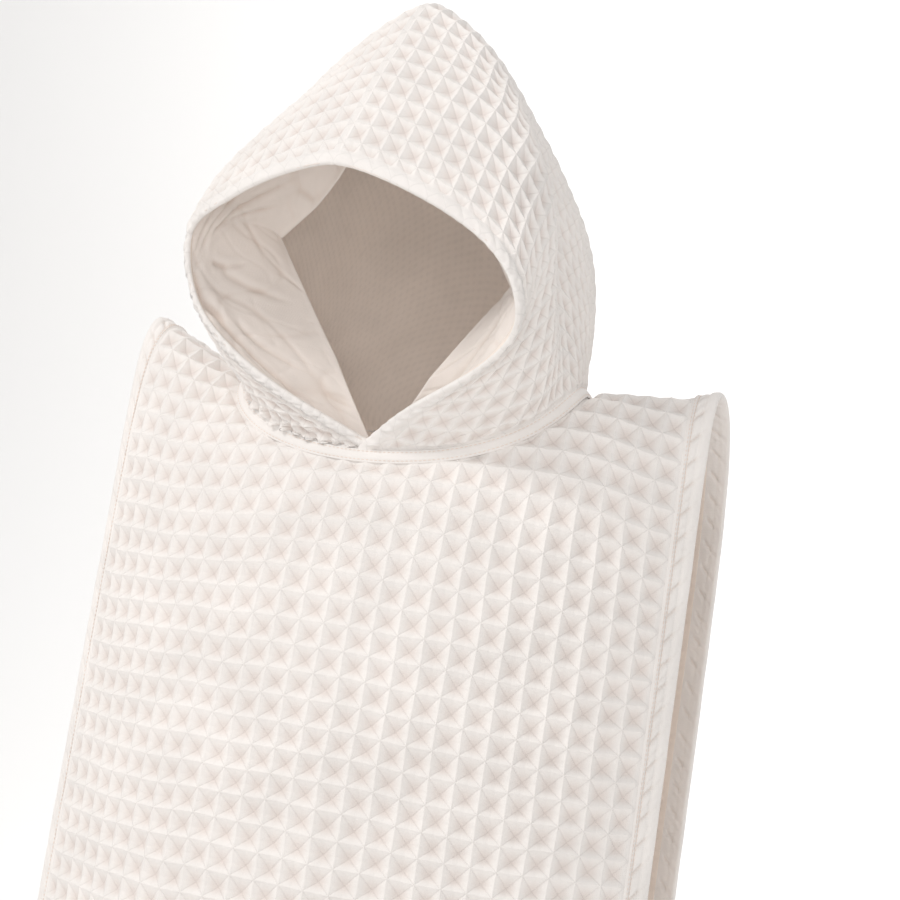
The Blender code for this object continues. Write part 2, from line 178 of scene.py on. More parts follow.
# Creases pressed into the facing: where each starts and ends (along the opening, share of the
# way in), its depth and width
FACING_CREASES = {
    # from along, from in, to along, to in, depth, width
    -1: (
        (0.52, 0.10, 0.74, 0.16, 1.2, 2.2),
        (0.51, 0.14, 0.80, 0.40, 1.4, 2.4),
        (0.53, 0.22, 0.76, 0.72, 1.1, 2.6),
        (0.56, 0.30, 0.66, 0.82, 0.9, 2.4),
        (0.49, 0.26, 0.47, 0.62, 1.1, 2.2),
        (0.47, 0.34, 0.38, 0.86, 0.9, 2.6),
        (0.50, 0.06, 0.33, 0.30, 1.5, 3.0),
        (0.42, 0.12, 0.10, 0.62, 1.3, 2.8),
        (0.34, 0.34, 0.18, 0.82, 0.9, 2.4),
        (0.60, 0.04, 0.93, 0.10, 1.0, 2.4),
        (0.63, 0.20, 0.90, 0.55, 0.9, 2.2),
        (0.28, 0.10, 0.06, 0.40, 1.1, 2.4),
    ),
    1: (
        (0.10, 0.55, 0.34, 0.20, 1.0, 3.0),
        (0.20, 0.70, 0.52, 0.38, 0.8, 3.2),
        (0.36, 0.20, 0.62, 0.50, 0.8, 2.8),
        (0.60, 0.15, 0.86, 0.40, 0.9, 2.6),
        (0.70, 0.50, 0.95, 0.70, 0.8, 2.6),
    ),
}


# ---------------------------------------------------------------- sizes a user would change


class PonchoWeave(bpy.types.PropertyGroup):
    """The honeycomb weave."""

    cell: FloatProperty(
        name="Cell", description="Side of one honeycomb cell", default=0.0165, unit="LENGTH"
    )
    depth: FloatProperty(
        name="Depth", description="Depth of a cell's pit", default=0.0046, unit="LENGTH"
    )
    cloth: FloatProperty(
        name="Cloth", description="Thickness of the cloth at a pit", default=0.0014, unit="LENGTH"
    )
    hem_cloth: FloatProperty(
        name="Hem", description="Thickness of a turned hem", default=0.0036, unit="LENGTH"
    )
    stitch: FloatProperty(
        name="Stitch", description="Length of one stitch", default=0.0030, unit="LENGTH"
    )


class PonchoColours(bpy.types.PropertyGroup):
    """The finishes' colours, as sRGB hex."""

    cloth: StringProperty(name="Cloth", description="Honeycomb cotton", default="F5F0EC")
    # painted shade: the colour mixed into the pits of the cells
    pit_shade: StringProperty(name="Pits", description="Bottom of the cells", default="E9DFD9")
    reverse: StringProperty(name="Reverse", description="Inner side of the cotton", default="FAEEE4")
    facing: StringProperty(name="Facing", description="Plain cotton band", default="EEE5DE")
    # painted shade: the colour mixed into the creases of the hems and the facing
    crease: StringProperty(name="Crease", description="Bottom of pressed creases", default="D3C0B2")
    tape: StringProperty(name="Tape", description="Neck tape and hems", default="F5F0EC")
    thread: StringProperty(name="Thread", description="Top-stitching", default="F0DFD3")


class PonchoStage(bpy.types.PropertyGroup):
    """Camera and floor."""

    azimuth: FloatProperty(
        name="Azimuth", description="Camera turn about Z", default=math.radians(20.0), subtype="ANGLE"
    )
    elevation: FloatProperty(
        name="Elevation", description="Camera height", default=math.radians(-5.0), subtype="ANGLE"
    )
    roll: FloatProperty(
        name="Roll", description="Camera roll", default=math.radians(9.0), subtype="ANGLE"
    )
    distance: FloatProperty(
        name="Distance", description="Camera to object", default=1.35, unit="LENGTH"
    )
    lens: FloatProperty(name="Lens", description="Focal length in millimetres", default=83.0)
    floor: FloatProperty(
        name="Floor", description="Height of the floor", default=-0.72, unit="LENGTH"
    )


# ---------------------------------------------------------------- small tools


def ease(share):
    """0 to 1 with level ends."""
    share = np.clip(share, 0.0, 1.0)
    return share * share * (3.0 - 2.0 * share)


def unit(vectors):
    length = np.linalg.norm(vectors, axis=-1, keepdims=True)
    return vectors / np.maximum(length, 1e-9)


def dot(a, b):
    return np.sum(a * b, axis=-1, keepdims=True)


def bump(distance, width):
    """1 at no distance, falling off like a bell."""
    return np.exp(-((distance / width) ** 2))


def wander(a, b, pitch, seed):
    """Smooth unevenness between about -1 and 1: four crossed waves of unlike lengths."""
    total = 0.0
    for k in range(4):
        turn = 1.7 * k + 0.9 * seed
        length = pitch * (1.0 + 0.37 * k)
        along = a * math.cos(turn) + b * math.sin(turn)
        total = total + np.sin(2.0 * math.pi * along / length + 2.3 * seed + 1.1 * k)
    return total / 4.0


def columns_at(rows, key, places):
    """Smooth curve through the rows of a table at the places asked for."""
    table = np.array(rows, float)
    knots = np.asarray(key, float)
    slopes = np.gradient(table, knots, axis=0)
    places = np.clip(places, knots[0], knots[-1])
    span = np.clip(np.searchsorted(knots, places, side="right") - 1, 0, len(knots) - 2)
    step = (knots[span + 1] - knots[span])[..., None]
    q = (places[..., None] - knots[span][..., None]) / step
    start, end = table[span], table[span + 1]
    blend = q * q * (3.0 - 2.0 * q)
    return (
        start * (1.0 - blend)
        + end * blend
        + slopes[span] * step * q * (1.0 - q) ** 2
        - slopes[span + 1] * step * q * q * (1.0 - q)
    )


def running_sum(values, step):
    """Trapezoid sum along the last axis, starting at 0."""
    middle = 0.5 * (values[..., 1:] + values[..., :-1]) * step
    return np.concatenate([np.zeros_like(values[..., :1]), np.cumsum(middle, axis=-1)], axis=-1)


# ---------------------------------------------------------------- worn body


def fold_height(side, across, down):
    """Sum of the soft folds of one panel, each a smooth ridge or trough that grows downwards."""
    height = np.zeros(np.broadcast(across, down).shape)
    for fold_side, top, bottom, width, depth, start, full in FOLDS:
        if fold_side == side:
            centre = top + (bottom - top) * down / PANEL_LENGTH
            grown = ease((down - start) / (full - start))
            height = height + depth * grown * bump(across - centre, width)
    return height


def body_table():
    """Points of the worn cloth on an even net of places across and along the flat cloth.

    A column leaves the shoulder ridge level and turns down over a length that carries it out
    to the plan curve of its panel, an arc across the chest or the back.
    """
    across = np.linspace(-HALF_WIDTH, HALF_WIDTH, 309)[:, None]
    down = np.linspace(0.0, PANEL_LENGTH, 581)[None, :]
    share = np.abs(across) / HALF_WIDTH
    ridge_x = across * RIDGE_SPREAD
    ridge_y = RIDGE_CENTRE + (RIDGE_END - RIDGE_CENTRE) * share**2
    neck_share = np.clip(across / NECK_HALF_WIDTH, -1.0, 1.0)
    outside = ease((np.abs(across) - NECK_HALF_WIDTH) / (HALF_WIDTH - NECK_HALF_WIDTH))
    tilt = NECK_TILT * neck_share * (1.0 - outside) + SHOULDER_TILT * np.sign(across) * outside
    sides = []
    for side, radius, centre in ((-1, BACK_RADIUS, BACK_CENTRE), (1, FRONT_RADIUS, FRONT_CENTRE)):
        front_end = FRONT_RADIUS * math.sin(HALF_WIDTH / FRONT_RADIUS)
        plan_x = front_end * np.sin(across / radius) / math.sin(HALF_WIDTH / radius)
        plan_y = centre + side * radius * (1.0 - np.cos(across / radius))
        length = np.abs(plan_y - ridge_y) / TURN_LENGTH
        angle = 0.5 * math.pi * (1.0 - np.exp(-np.maximum(down - FOLD_FLAT, 0.0) / length))
        step = down[0, 1] - down[0, 0]
        out = running_sum(np.cos(angle), step)
        fall = running_sum(np.sin(angle), step)
        near = np.exp(-down / RIDGE_REACH)
        flare = HEM_FLARE * (across / HALF_WIDTH) * (down / PANEL_LENGTH)
        x = ridge_x * near + plan_x * (1.0 - near) + flare
        y = ridge_y - side * (out + fold_height(side, across, down))
        z = RIDGE_RISE * share**RIDGE_RISE_POWER + tilt * (1.0 - ease(down / TILT_REACH)) - fall
        sides.append(np.stack(np.broadcast_arrays(x, y, z), axis=-1))
    back, front = sides
    return np.concatenate([back[:, :0:-1], front], axis=1)


def outward_table(points):
    """Outward unit normals of the body net: front faces -Y, the shoulder fold +Z."""
    return unit(np.cross(np.gradient(points, axis=1), np.gradient(points, axis=0)))


BODY = body_table()
BODY_OUT = outward_table(BODY)


def sample(table, across, down):
    """Value of a body table at places on the flat cloth: down is negative on the back."""
    i = (np.asarray(across, float) + HALF_WIDTH) / (2.0 * HALF_WIDTH) * (table.shape[0] - 1)
    j = (np.asarray(down, float) + PANEL_LENGTH) / (2.0 * PANEL_LENGTH) * (table.shape[1] - 1)
    i, j = np.broadcast_arrays(i, j)
    i0 = np.clip(i.astype(int), 0, table.shape[0] - 2)
    j0 = np.clip(j.astype(int), 0, table.shape[1] - 2)
    p = (i - i0)[..., None]
    q = (j - j0)[..., None]
    low = table[i0, j0] * (1.0 - q) + table[i0, j0 + 1] * q
    high = table[i0 + 1, j0] * (1.0 - q) + table[i0 + 1, j0 + 1] * q
    return low * (1.0 - p) + high * p


# ---------------------------------------------------------------- neck seam


def neck_cut(angle):
    """The neckline on the flat cloth: 0 degrees is the centre front and 90 a shoulder."""
    turn = np.radians(angle)
    across = NECK_HALF_WIDTH * np.sin(turn)
    drop = np.where(np.cos(turn) > 0.0, NECK_FRONT_DROP, NECK_BACK_DROP)
    down = drop * np.sign(np.cos(turn)) * np.abs(np.cos(turn)) ** NECK_POWER
    return across, down


def neck_at(angle):
    return sample(BODY, *neck_cut(angle))


def neck_frame(angle):
    """Along, up and outward directions of the neck seam, between the hood and the body."""
    angle = np.asarray(angle, float)
    along = unit(neck_at(angle + 1.0) - neck_at(angle - 1.0))
    across, down = neck_cut(angle)
    turn = np.radians(angle)
    inner = sample(BODY, across - 5.0 * np.sin(turn), down - 5.0 * np.cos(turn)) - neck_at(angle)
    body_up = unit(inner - along * dot(inner, along))
    lift = np.array([0.0, 0.0, 1.0]) - along * along[..., 2:3]
    up = unit(body_up + NECK_LIFT * unit(lift))
    return along, up, unit(np.cross(along, up))


NECK_ANGLES = np.linspace(-180.0, 180.0, 721)
NECK_CUT = np.stack(neck_cut(NECK_ANGLES), axis=-1)


def neck_distance(across, down):
    """Distance on the flat cloth from the neckline, below 0 inside it, and the angle there."""
    spots = np.stack([across.ravel(), down.ravel()], axis=-1)
    near = np.abs(spots[:, 0]) < NECK_HALF_WIDTH + 40.0
    near &= (spots[:, 1] < NECK_FRONT_DROP + 40.0) & (spots[:, 1] > -NECK_BACK_DROP - 40.0)
    distance = np.full(len(spots), 40.0)
    angle = np.zeros(len(spots))
    for chunk in np.array_split(np.flatnonzero(near), 24):
        gap = np.linalg.norm(spots[chunk, None, :] - NECK_CUT[None], axis=-1)
        best = gap.argmin(axis=1)
        distance[chunk] = gap[np.arange(len(chunk)), best]
        angle[chunk] = NECK_ANGLES[best]
    share = np.clip(np.abs(spots[:, 0]) / NECK_HALF_WIDTH, 0.0, 1.0)
    level = (1.0 - share**2) ** (0.5 * NECK_POWER)
    inside = np.abs(spots[:, 0]) < NECK_HALF_WIDTH
    inside &= (spots[:, 1] < NECK_FRONT_DROP * level) & (spots[:, 1] > -NECK_BACK_DROP * level)
    distance = np.where(inside, -distance, distance)
    return distance.reshape(across.shape), angle.reshape(across.shape)


# ---------------------------------------------------------------- hood


def bezier(start, near_start, near_end, end, t):
    t = t[..., None]
    return (
        start * (1.0 - t) ** 3
        + 3.0 * near_start * t * (1.0 - t) ** 2
        + 3.0 * near_end * t * t * (1.0 - t)
        + end * t**3
    )


def turned(points, base):
    """The hood turned about the neck's axis, more with height above its base."""
    angle = HOOD_TURN * ease((points[..., 2] - base) / HOOD_TURN_HEIGHT)
    x = points[..., 0] * np.cos(angle) - points[..., 1] * np.sin(angle)
    y = points[..., 0] * np.sin(angle) + points[..., 1] * np.cos(angle)
    return np.stack([x, y, points[..., 2]], axis=-1)


def lapped(points, side, place, t):
    """The front corners pass each other at the centre front, the wearer's left one outside."""
    reach = np.clip(1.0 - t / LAP_REACH, 0.0, 1.0) ** 2 * np.clip(1.0 - place / 1.2, 0.0, 1.0)
    moved = points.copy()
    moved[..., 0] -= side * LAP_SIDE * reach
    moved[..., 1] += (LAP_DEPTH if side < 0 else 0.0) * reach
    return moved


def ring_angle(place):
    """Angle round the neck at a place between the ribs."""
    return columns_at([[row[0]] for row in RIBS], np.arange(len(RIBS)), place)[..., 0]


def hood_at(side, place, t):
    """Point of a hood half: place runs from the opening to the nape, t from neck to seam.

    A rib is a cubic curve from the neck seam to the centre seam, between the ribs of the
    table; the front ribs sway with the opening's edge.
    """
    place, t = np.broadcast_arrays(np.asarray(place, float), np.asarray(t, float))
    row = columns_at(RIBS, np.arange(len(RIBS)), place)
    end = np.stack([np.zeros_like(t), row[..., 7], row[..., 8]], axis=-1)
    points = bezier(neck_at(row[..., 0]), row[..., 1:4], row[..., 4:7], end, t)
    sway = columns_at(EDGE_SWAY[side], SWAY_PLACES, t) * ease(1.0 - place / SWAY_REACH)[..., None]
    points = points + np.stack([sway[..., 0], np.zeros_like(t), sway[..., 1]], axis=-1)
    mirror = np.array([side, 1.0, 1.0])
    base = neck_at(side * row[..., 0])
    across = neck_at(-side * row[..., 0])
    low = neck_at(row[..., 0]) * mirror
    points = points * mirror + (base - low) * (1.0 - t[..., None]) ** 3
    _, up, _ = neck_frame(side * row[..., 0])
    points = points + up * (SEAM_FLAT * np.clip(1.0 - t / LIFT_REACH, 0.0, 1.0) ** 2)[..., None]
    return lapped(turned(points, 0.5 * (base[..., 2] + across[..., 2])), side, place, t)


def let_forward(seam_gap, edge_gap):
    """How far the opening's edge comes forward near the centre seam, which rounds its top."""
    return (5.0 * np.exp(-seam_gap / 16.0) * ease(1.0 - edge_gap / 40.0))[..., None]


def facing_at(side, t, q):
    """Point of the facing: t runs from the neck to the centre seam, q from the opening inwards.

    It starts inside the rolled edge, leaves the hood wall, and ends on the straight pulls of
    its free edge.
    """
    t, q = np.broadcast_arrays(t, q)
    place = q * FACING_FOLLOWS
    wall = hood_at(side, place, t)
    ahead = hood_at(side, place + 0.05, t) - wall
    along = hood_at(side, place, np.minimum(t + 0.01, 1.0)) - hood_at(side, place, t - 0.01)
    inwards = unit(np.cross(along, ahead)) * side
    wall = wall - unit(ahead) * let_forward((1.0 - t) * EDGE_RUN, q * FACING_REACH)
    near = wall + inwards * (0.4 + 3.6 * ease(q / 0.25))[..., None]
    pulls = np.array(FACING_EDGE[side])
    reach = 0.09 * ease((t - 0.64) / 0.14) * ease((1.0 - t) / 0.1)
    steps = [t + k * reach for k in (-1.0, -0.5, 0.0, 0.5, 1.0)]
    free = [np.interp(np.array(steps), pulls[:, 0], pulls[:, i]).mean(axis=0) for i in (1, 2, 3)]
    free = np.stack(free, axis=-1)
    free = turned(free * np.array([side, 1.0, 1.0]), neck_at(0.0)[2])
    leave = (q**FACING_LEAVES)[..., None]
    return near * (1.0 - leave) + free * leave


# ---------------------------------------------------------------- weave relief


def waffle(u, v):
    """Height of the honeycomb, 0 at the bottom of a pit and 1 where its walls cross.

    The greater distance from the cell's two middle lines makes four slopes down to the
    middle; the walls sag between their crossings.
    """
    a = np.abs(2.0 * np.mod(u, 1.0) - 1.0)
    b = np.abs(2.0 * np.mod(v, 1.0) - 1.0)
    high = np.maximum(a, b)
    low = np.minimum(a, b)
    return high**1.12 - WALL_SAG * high * (1.0 - low) ** 1.5


def row_place(across, down):
    """Place along the columns of the weave: the rows droop to both sides near the shoulders."""
    droop = ROW_DROOP * (across / HALF_WIDTH) ** 2
    return down - droop * np.exp(-np.abs(down) / ROW_DROOP_REACH)


def sunk(row):
    """Row places, in cells, with the middle of each cell moved down by the weight of its pit."""
    return row + PIT_DROP * np.sin(np.pi * row) ** 2


def risen(row):
    """The reverse of sunk."""
    return row - PIT_DROP * np.sin(np.pi * (row - PIT_DROP * np.sin(np.pi * row) ** 2)) ** 2


def cell_triangles(u_steps, v_steps, steps, u_start=0, v_start=0):
    """Triangles of a grid whose cells are steps wide, cut along the valleys of the pits."""
    i, j = np.meshgrid(np.arange(u_steps - 1), np.arange(v_steps - 1), indexing="ij")
    a = i * v_steps + j
    b, c, d = a + v_steps, a + v_steps + 1, a + 1
    falling = (((i + u_start) % steps) < steps / 2) == (((j + v_start) % steps) < steps / 2)
    first = np.where(falling[..., None], np.stack([a, b, c], -1), np.stack([a, b, d], -1))
    second = np.where(falling[..., None], np.stack([a, c, d], -1), np.stack([b, c, d], -1))
    return first.reshape(-1, 3), second.reshape(-1, 3)


# ---------------------------------------------------------------- meshes


def put_mesh(name, points, triangles, slots, spots=None, painted_shade=None, kinds=None, crisp=None):
    """One mesh object from whole arrays: points in millimetres, triangles, a material index
    per triangle, flat-cloth places for its UV map and an attribute for painted shade, lower
    where the materials darken the colour. Triangles whose three corners are crisp are shaded flat."""
    mesh = bpy.data.meshes.new(name)
    mesh.vertices.add(len(points))
    mesh.vertices.foreach_set("co", (points * MM).astype(np.float32).ravel())
    mesh.loops.add(triangles.size)
    mesh.loops.foreach_set("vertex_index", triangles.astype(np.int32).ravel())
    mesh.polygons.add(len(triangles))
    mesh.polygons.foreach_set("loop_start", np.arange(0, triangles.size, 3, dtype=np.int32))
    mesh.update(calc_edges=True)
    smooth = np.ones(len(triangles), bool) if crisp is None else ~crisp
    mesh.polygons.foreach_set("use_smooth", smooth)
    if kinds is not None:
        mesh.polygons.foreach_set("material_index", kinds.astype(np.int32))
    if spots is not None:
        layer = mesh.uv_layers.new(name="cloth")
        layer.data.foreach_set("uv", (spots[triangles.ravel()] * MM).astype(np.float32).ravel())
    if painted_shade is not None:
        attribute = mesh.attributes.new("painted_shade", "FLOAT", "POINT")
        attribute.data.foreach_set("value", painted_shade.astype(np.float32))
    for material in slots:
        mesh.materials.append(material)
    mesh.validate()
    piece = bpy.data.objects.new(name, mesh)
    bpy.context.scene.collection.objects.link(piece)
    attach(piece, "root")
    return piece


def shell(
    name, outer, inner, triangles, slots, spots, painted_shade, crisp=None, rim_steps=5, bulge=1.0
):
    """A closed wall of cloth between an outer and an inner net of the same triangles.

    The open edges are closed by half-round rims: the middle of both nets at an edge, moved
    outwards by the sine of a turn from one net to the other. Inner faces take the second
    material.
    """
    if crisp is not None:
        crisp = crisp[triangles].all(axis=1)
    used, triangles = np.unique(triangles, return_inverse=True)
    triangles = triangles.reshape(-1, 3)
    outer, inner, spots, painted_shade = outer[used], inner[used], spots[used], painted_shade[used]
    corners = outer[triangles]
    face_out = np.cross(corners[:, 1] - corners[:, 0], corners[:, 2] - corners[:, 0])
    way = (outer - inner)[triangles].mean(axis=1)
    if np.sum(face_out * way) < 0.0:
        triangles = triangles[:, ::-1]
    count = len(outer)
    starts = triangles.ravel()
    ends = triangles[:, [1, 2, 0]].ravel()
    rim = ~np.isin(starts * count + ends, ends * count + starts)
    a, b = starts[rim], ends[rim]
    walls = unit(outer - inner)
    outwards = np.zeros_like(outer)
    side = np.cross(unit(outer[b] - outer[a]), walls[a])
    np.add.at(outwards, a, side)
    np.add.at(outwards, b, side)
    edge = np.unique(np.concatenate([a, b]))
    place = np.zeros(count, int)
    place[edge] = np.arange(len(edge))
    outwards = unit(outwards[edge])
    middle = 0.5 * (outer[edge] + inner[edge])
    arm = outer[edge] - middle
    radius = np.linalg.norm(arm, axis=-1, keepdims=True) * bulge
    turns = np.pi * np.arange(1, rim_steps) / rim_steps
    rings = [middle + arm * math.cos(turn) + outwards * radius * math.sin(turn) for turn in turns]
    ids = [edge] + [2 * count + k * len(edge) + np.arange(len(edge)) for k in range(len(rings))]
    ids.append(edge + count)
    strips = []
    for low, high in zip(ids[:-1], ids[1:]):
        pa, pb = low[place[a]], low[place[b]]
        qa, qb = high[place[a]], high[place[b]]
        strips += [np.stack([pb, pa, qa], -1), np.stack([pb, qa, qb], -1)]
    faces = np.concatenate([triangles, triangles[:, ::-1] + count] + strips)
    kinds = np.zeros(len(faces), int)
    kinds[len(triangles) : 2 * len(triangles)] = len(slots) - 1
    if crisp is not None:
        crisp = np.concatenate([crisp, np.zeros(len(faces) - len(crisp), bool)])
    points = np.concatenate([outer, inner] + rings)
    spots = np.concatenate([spots, spots] + [spots[edge]] * len(rings))
    painted_shade = np.concatenate([painted_shade, painted_shade] + [painted_shade[edge]] * len(rings))
    return put_mesh(name, points, faces, slots, spots, painted_shade, kinds, crisp)


def net_shell(name, middle, outward, high, low, slots, spots, painted_shade=None, **rim):
    """A wall on a plain rectangular net: high above and low below its middle surface."""
    rows, columns = middle.shape[:2]
    first, second = cell_triangles(rows, columns, 2)
    high = np.broadcast_to(high, (rows, columns))[..., None]
    low = np.broadcast_to(low, (rows, columns))[..., None]
    if painted_shade is None:
        painted_shade = np.ones((rows, columns))
    return shell(
        name,
        (middle + outward * high).reshape(-1, 3),
        (middle - outward * low).reshape(-1, 3),
        np.concatenate([first, second]),
        slots,
        np.stack(np.broadcast_arrays(*spots), axis=-1).reshape(-1, 2),
        painted_shade.ravel(),
        **rim,
    )


def stitches(name, path, outward, length, slots):
    """A row of stitches: a slim raised spindle of six sides on each even step of a path."""
    steps = np.linalg.norm(np.diff(path, axis=0), axis=-1)
    place = np.concatenate([[0.0], np.cumsum(steps)])
    count = max(int(place[-1] / length), 2)
    middle = (np.arange(count) + 0.5) * place[-1] / count
    spots = [np.interp(middle, place, path[:, k]) for k in range(3)]
    centre = np.stack(spots, axis=-1)
    ahead = np.stack([np.interp(middle + 0.3, place, path[:, k]) for k in range(3)], axis=-1)
    up = unit(np.stack([np.interp(middle, place, outward[:, k]) for k in range(3)], axis=-1))
    along = unit(ahead - centre)
    side = unit(np.cross(along, up))
    reach = np.array([-0.42, 0.0, 0.42]) * length
    girth = np.array([0.10, 0.26, 0.10])
    lift = np.array([-0.28, 0.14, -0.28])
    turn = 2.0 * np.pi * np.arange(6) / 6.0
    ring = side[:, None, None] * np.cos(turn)[None, None, :, None]
    ring = ring + up[:, None, None] * np.sin(turn)[None, None, :, None] * 0.8
    points = centre[:, None, None] + along[:, None, None] * reach[None, :, None, None]
    points = points + up[:, None, None] * lift[None, :, None, None]
    points = points + ring * girth[None, :, None, None]
    k, j = np.meshgrid(np.arange(2), np.arange(6), indexing="ij")
    a, b = k * 6 + j, k * 6 + (j + 1) % 6
    faces = [np.stack([a, b, b + 6], -1).reshape(-1, 3), np.stack([a, b + 6, a + 6], -1).reshape(-1, 3)]
    fan = np.stack([np.zeros(4, int), np.arange(1, 5), np.arange(2, 6)], -1)
    faces += [fan[:, ::-1], fan + 12]
    faces = np.concatenate(faces)
    every = (faces[None] + 18 * np.arange(count)[:, None, None]).reshape(-1, 3)
    corner = points.reshape(-1, 3)[every[: len(faces)]] - centre[0]
    if np.sum(np.cross(corner[:, 0], corner[:, 1]) * corner[:, 2]) < 0.0:
        every = every[:, ::-1]
    return put_mesh(name, points.reshape(-1, 3), every, slots)


# ---------------------------------------------------------------- pieces


def body_grid(side, cell):
    """Grid of the front (1) or back (-1) of the body, in the columns and rows of the weave.

    Grid points inside the neckline or past the fold or the hem are brought back to it when a
    triangle needs them. The result is the places across and down, the place on the flat
    cloth, the distance from the neckline, the angle there, and the triangles.
    """
    step = cell / CELL_STEPS
    inner = HALF_WIDTH - HEM_WIDTH
    bottom = PANEL_LENGTH - HEM_WIDTH
    half = int(math.ceil(inner / step)) + 1
    u = np.arange(-half, half + 1)
    lowest = int(math.floor(-ROW_DROOP / step)) - 1
    v = np.arange(lowest, int(math.ceil(bottom / step)) + 2)
    across = np.clip(u[:, None] * step, -inner, inner) + 0.0 * v[None, :]
    rows = sunk(v[None, :] / CELL_STEPS) * cell + 0.0 * across
    down = rows.copy()
    for _ in range(6):
        down = rows + ROW_DROOP * (across / HALF_WIDTH) ** 2 * np.exp(-np.abs(down) / ROW_DROOP_REACH)
    wide = (np.abs(u) * step < inner + step)[:, None]
    gap, angle = neck_distance(across, side * down)
    out = (gap < 0.0) | (down < 0.0) | (down > bottom) | (np.abs(u[:, None] * step) > inner)
    first, second = cell_triangles(len(u), len(v), CELL_STEPS, half * 5, -lowest * 5)
    triangles = np.concatenate([first, second])
    usable = (wide & (down > -step) & (down < bottom + step)).ravel()
    triangles = triangles[usable[triangles].all(axis=1) & ~out.ravel()[triangles].all(axis=1)]
    down = np.clip(down, 0.0, bottom)
    place = side * down
    snap = (gap < 0.0) & (np.abs(gap) < 1.6 * step)
    cut_across, cut_down = neck_cut(angle)
    across = np.where(snap, cut_across, across)
    place = np.where(snap, cut_down, place)
    return across, down, place, np.maximum(gap, 0.0), angle, triangles


def body_cloth(name, side, slots):
    """The front (1) or back (-1) of the body, from the fold and the neckline to the hems."""
    weave = bpy.context.scene.poncho_weave
    cell = weave.cell / MM
    inner = HALF_WIDTH - HEM_WIDTH
    bottom = PANEL_LENGTH - HEM_WIDTH
    across, down, place, gap, angle, triangles = body_grid(side, cell)
    column = across / cell
    calm = ease((gap - 8.0) / 30.0) * ease((inner - np.abs(across)) / 30.0) * ease(down / 30.0)
    calm = calm * ease((bottom - down) / 30.0)
    moved_across = across + 1.1 * calm * wander(across, down, 64.0, 8)
    moved_place = place + 1.3 * calm * wander(down, across, 58.0, 9)
    middle = sample(BODY, moved_across, moved_place)
    outward = unit(sample(BODY_OUT, moved_across, moved_place))
    _, up, ring_out = neck_frame(angle)
    stand = (ease(1.0 - (gap - 1.0) / 11.0) * (gap < 12.0))[..., None]
    middle = middle * (1.0 - stand) + (neck_at(angle) - up * gap[..., None]) * stand
    outward = unit(outward * (1.0 - stand) + ring_out * stand)
    hem = np.minimum(inner - np.abs(across), bottom - down)
    flat = ease((gap - 2.5) / 5.0) * ease(hem / 5.0)
    row = risen(row_place(across, side * place) / cell)
    height = waffle(across / cell, row)
    deep = weave.depth / MM * (0.9 + 0.14 * wander(across, down, 110.0, 1))
    deep = deep * (0.35 + 0.65 * ease(down / 16.0))
    offset = flat * (height * deep - 0.28 * deep) + (1.0 - flat) * 0.4
    offset = offset + 0.5 * wander(across, down, 90.0, 3)
    cloth = weave.cloth / MM
    return shell(
        name,
        (middle + outward * (offset + 0.5 * cloth)[..., None]).reshape(-1, 3),
        (middle + outward * (0.25 * offset - cloth - 0.6)[..., None]).reshape(-1, 3),
        triangles,
        slots,
        np.stack([column * cell, row * cell], axis=-1).reshape(-1, 2),
        # painted shade: 1 on the cell walls and lower in the pits, where the material mixes in its dark
        # colour
        (1.0 - flat * (1.0 - height)).ravel(),
        crisp=(flat > 0.5).ravel(),
        rim_steps=2,
        bulge=0.2,
    )


def hem_band(name, across, down, side, slots, seed):
    """A turned and pressed hem: a flat band, a shallow valley and a rounded outer fold.

    across and down are the band's places on the flat cloth on a net whose first axis runs
    from the stitching to the fold. Slanting creases are what is left of the weave.
    """
    weave = bpy.context.scene.poncho_weave
    cell = weave.cell / MM
    middle = sample(BODY, across, down)
    outward = unit(sample(BODY_OUT, across, down))
    span = np.linspace(0.0, HEM_WIDTH, across.shape[0])[:, None]
    run = down if side else across
    slant = run + 0.95 * span + 1.6 * wander(run, span, 70.0, seed)
    tooth = np.mod(slant / cell, 1.0)
    crease = bump(np.minimum(tooth, 1.0 - tooth) * cell, 1.5)
    late = np.mod(slant / cell + 0.43, 1.0)
    crease = crease + 0.45 * bump(np.minimum(late, 1.0 - late) * cell, 1.2) * (
        wander(run, span, 60.0, seed + 5) > 0.05
    )
    reach = ease((span - 1.5) / 2.5) * ease((10.5 - span) / 2.5) + 0.4 * ease((span - 9.0) / 2.0) * ease(
        (15.5 - span) / 3.0
    )
    fold = 0.8 * np.sin(np.pi * np.clip((span - 8.6) / 6.4, 0.0, 1.0)) - 0.5 * bump(span - 8.6, 1.1)
    welt = 0.7 * bump(span - 1.0, 0.9) - 0.7 * bump(span - 2.4, 0.7)
    swell = 0.5 * np.sin(np.pi * tooth) * ease((span - 2.0) / 3.0) * ease((10.0 - span) / 3.0)
    offset = fold + welt + swell - 1.7 * crease * reach + 0.25 * wander(run, span, 30.0, seed + 2)
    thick = weave.hem_cloth / MM
    return net_shell(
        name,
        middle,
        outward,
        offset + 0.5 * thick,
        0.5 * thick + 0.3 * (fold + swell) - 1.5 * crease * reach,
        slots,
        (across, down),
        # painted shade: lower in the slanting creases of the hem
        0.75 * (1.0 - 0.42 * np.clip(crease * reach, 0.0, 1.0)),
        rim_steps=6,
        bulge=1.0,
    )


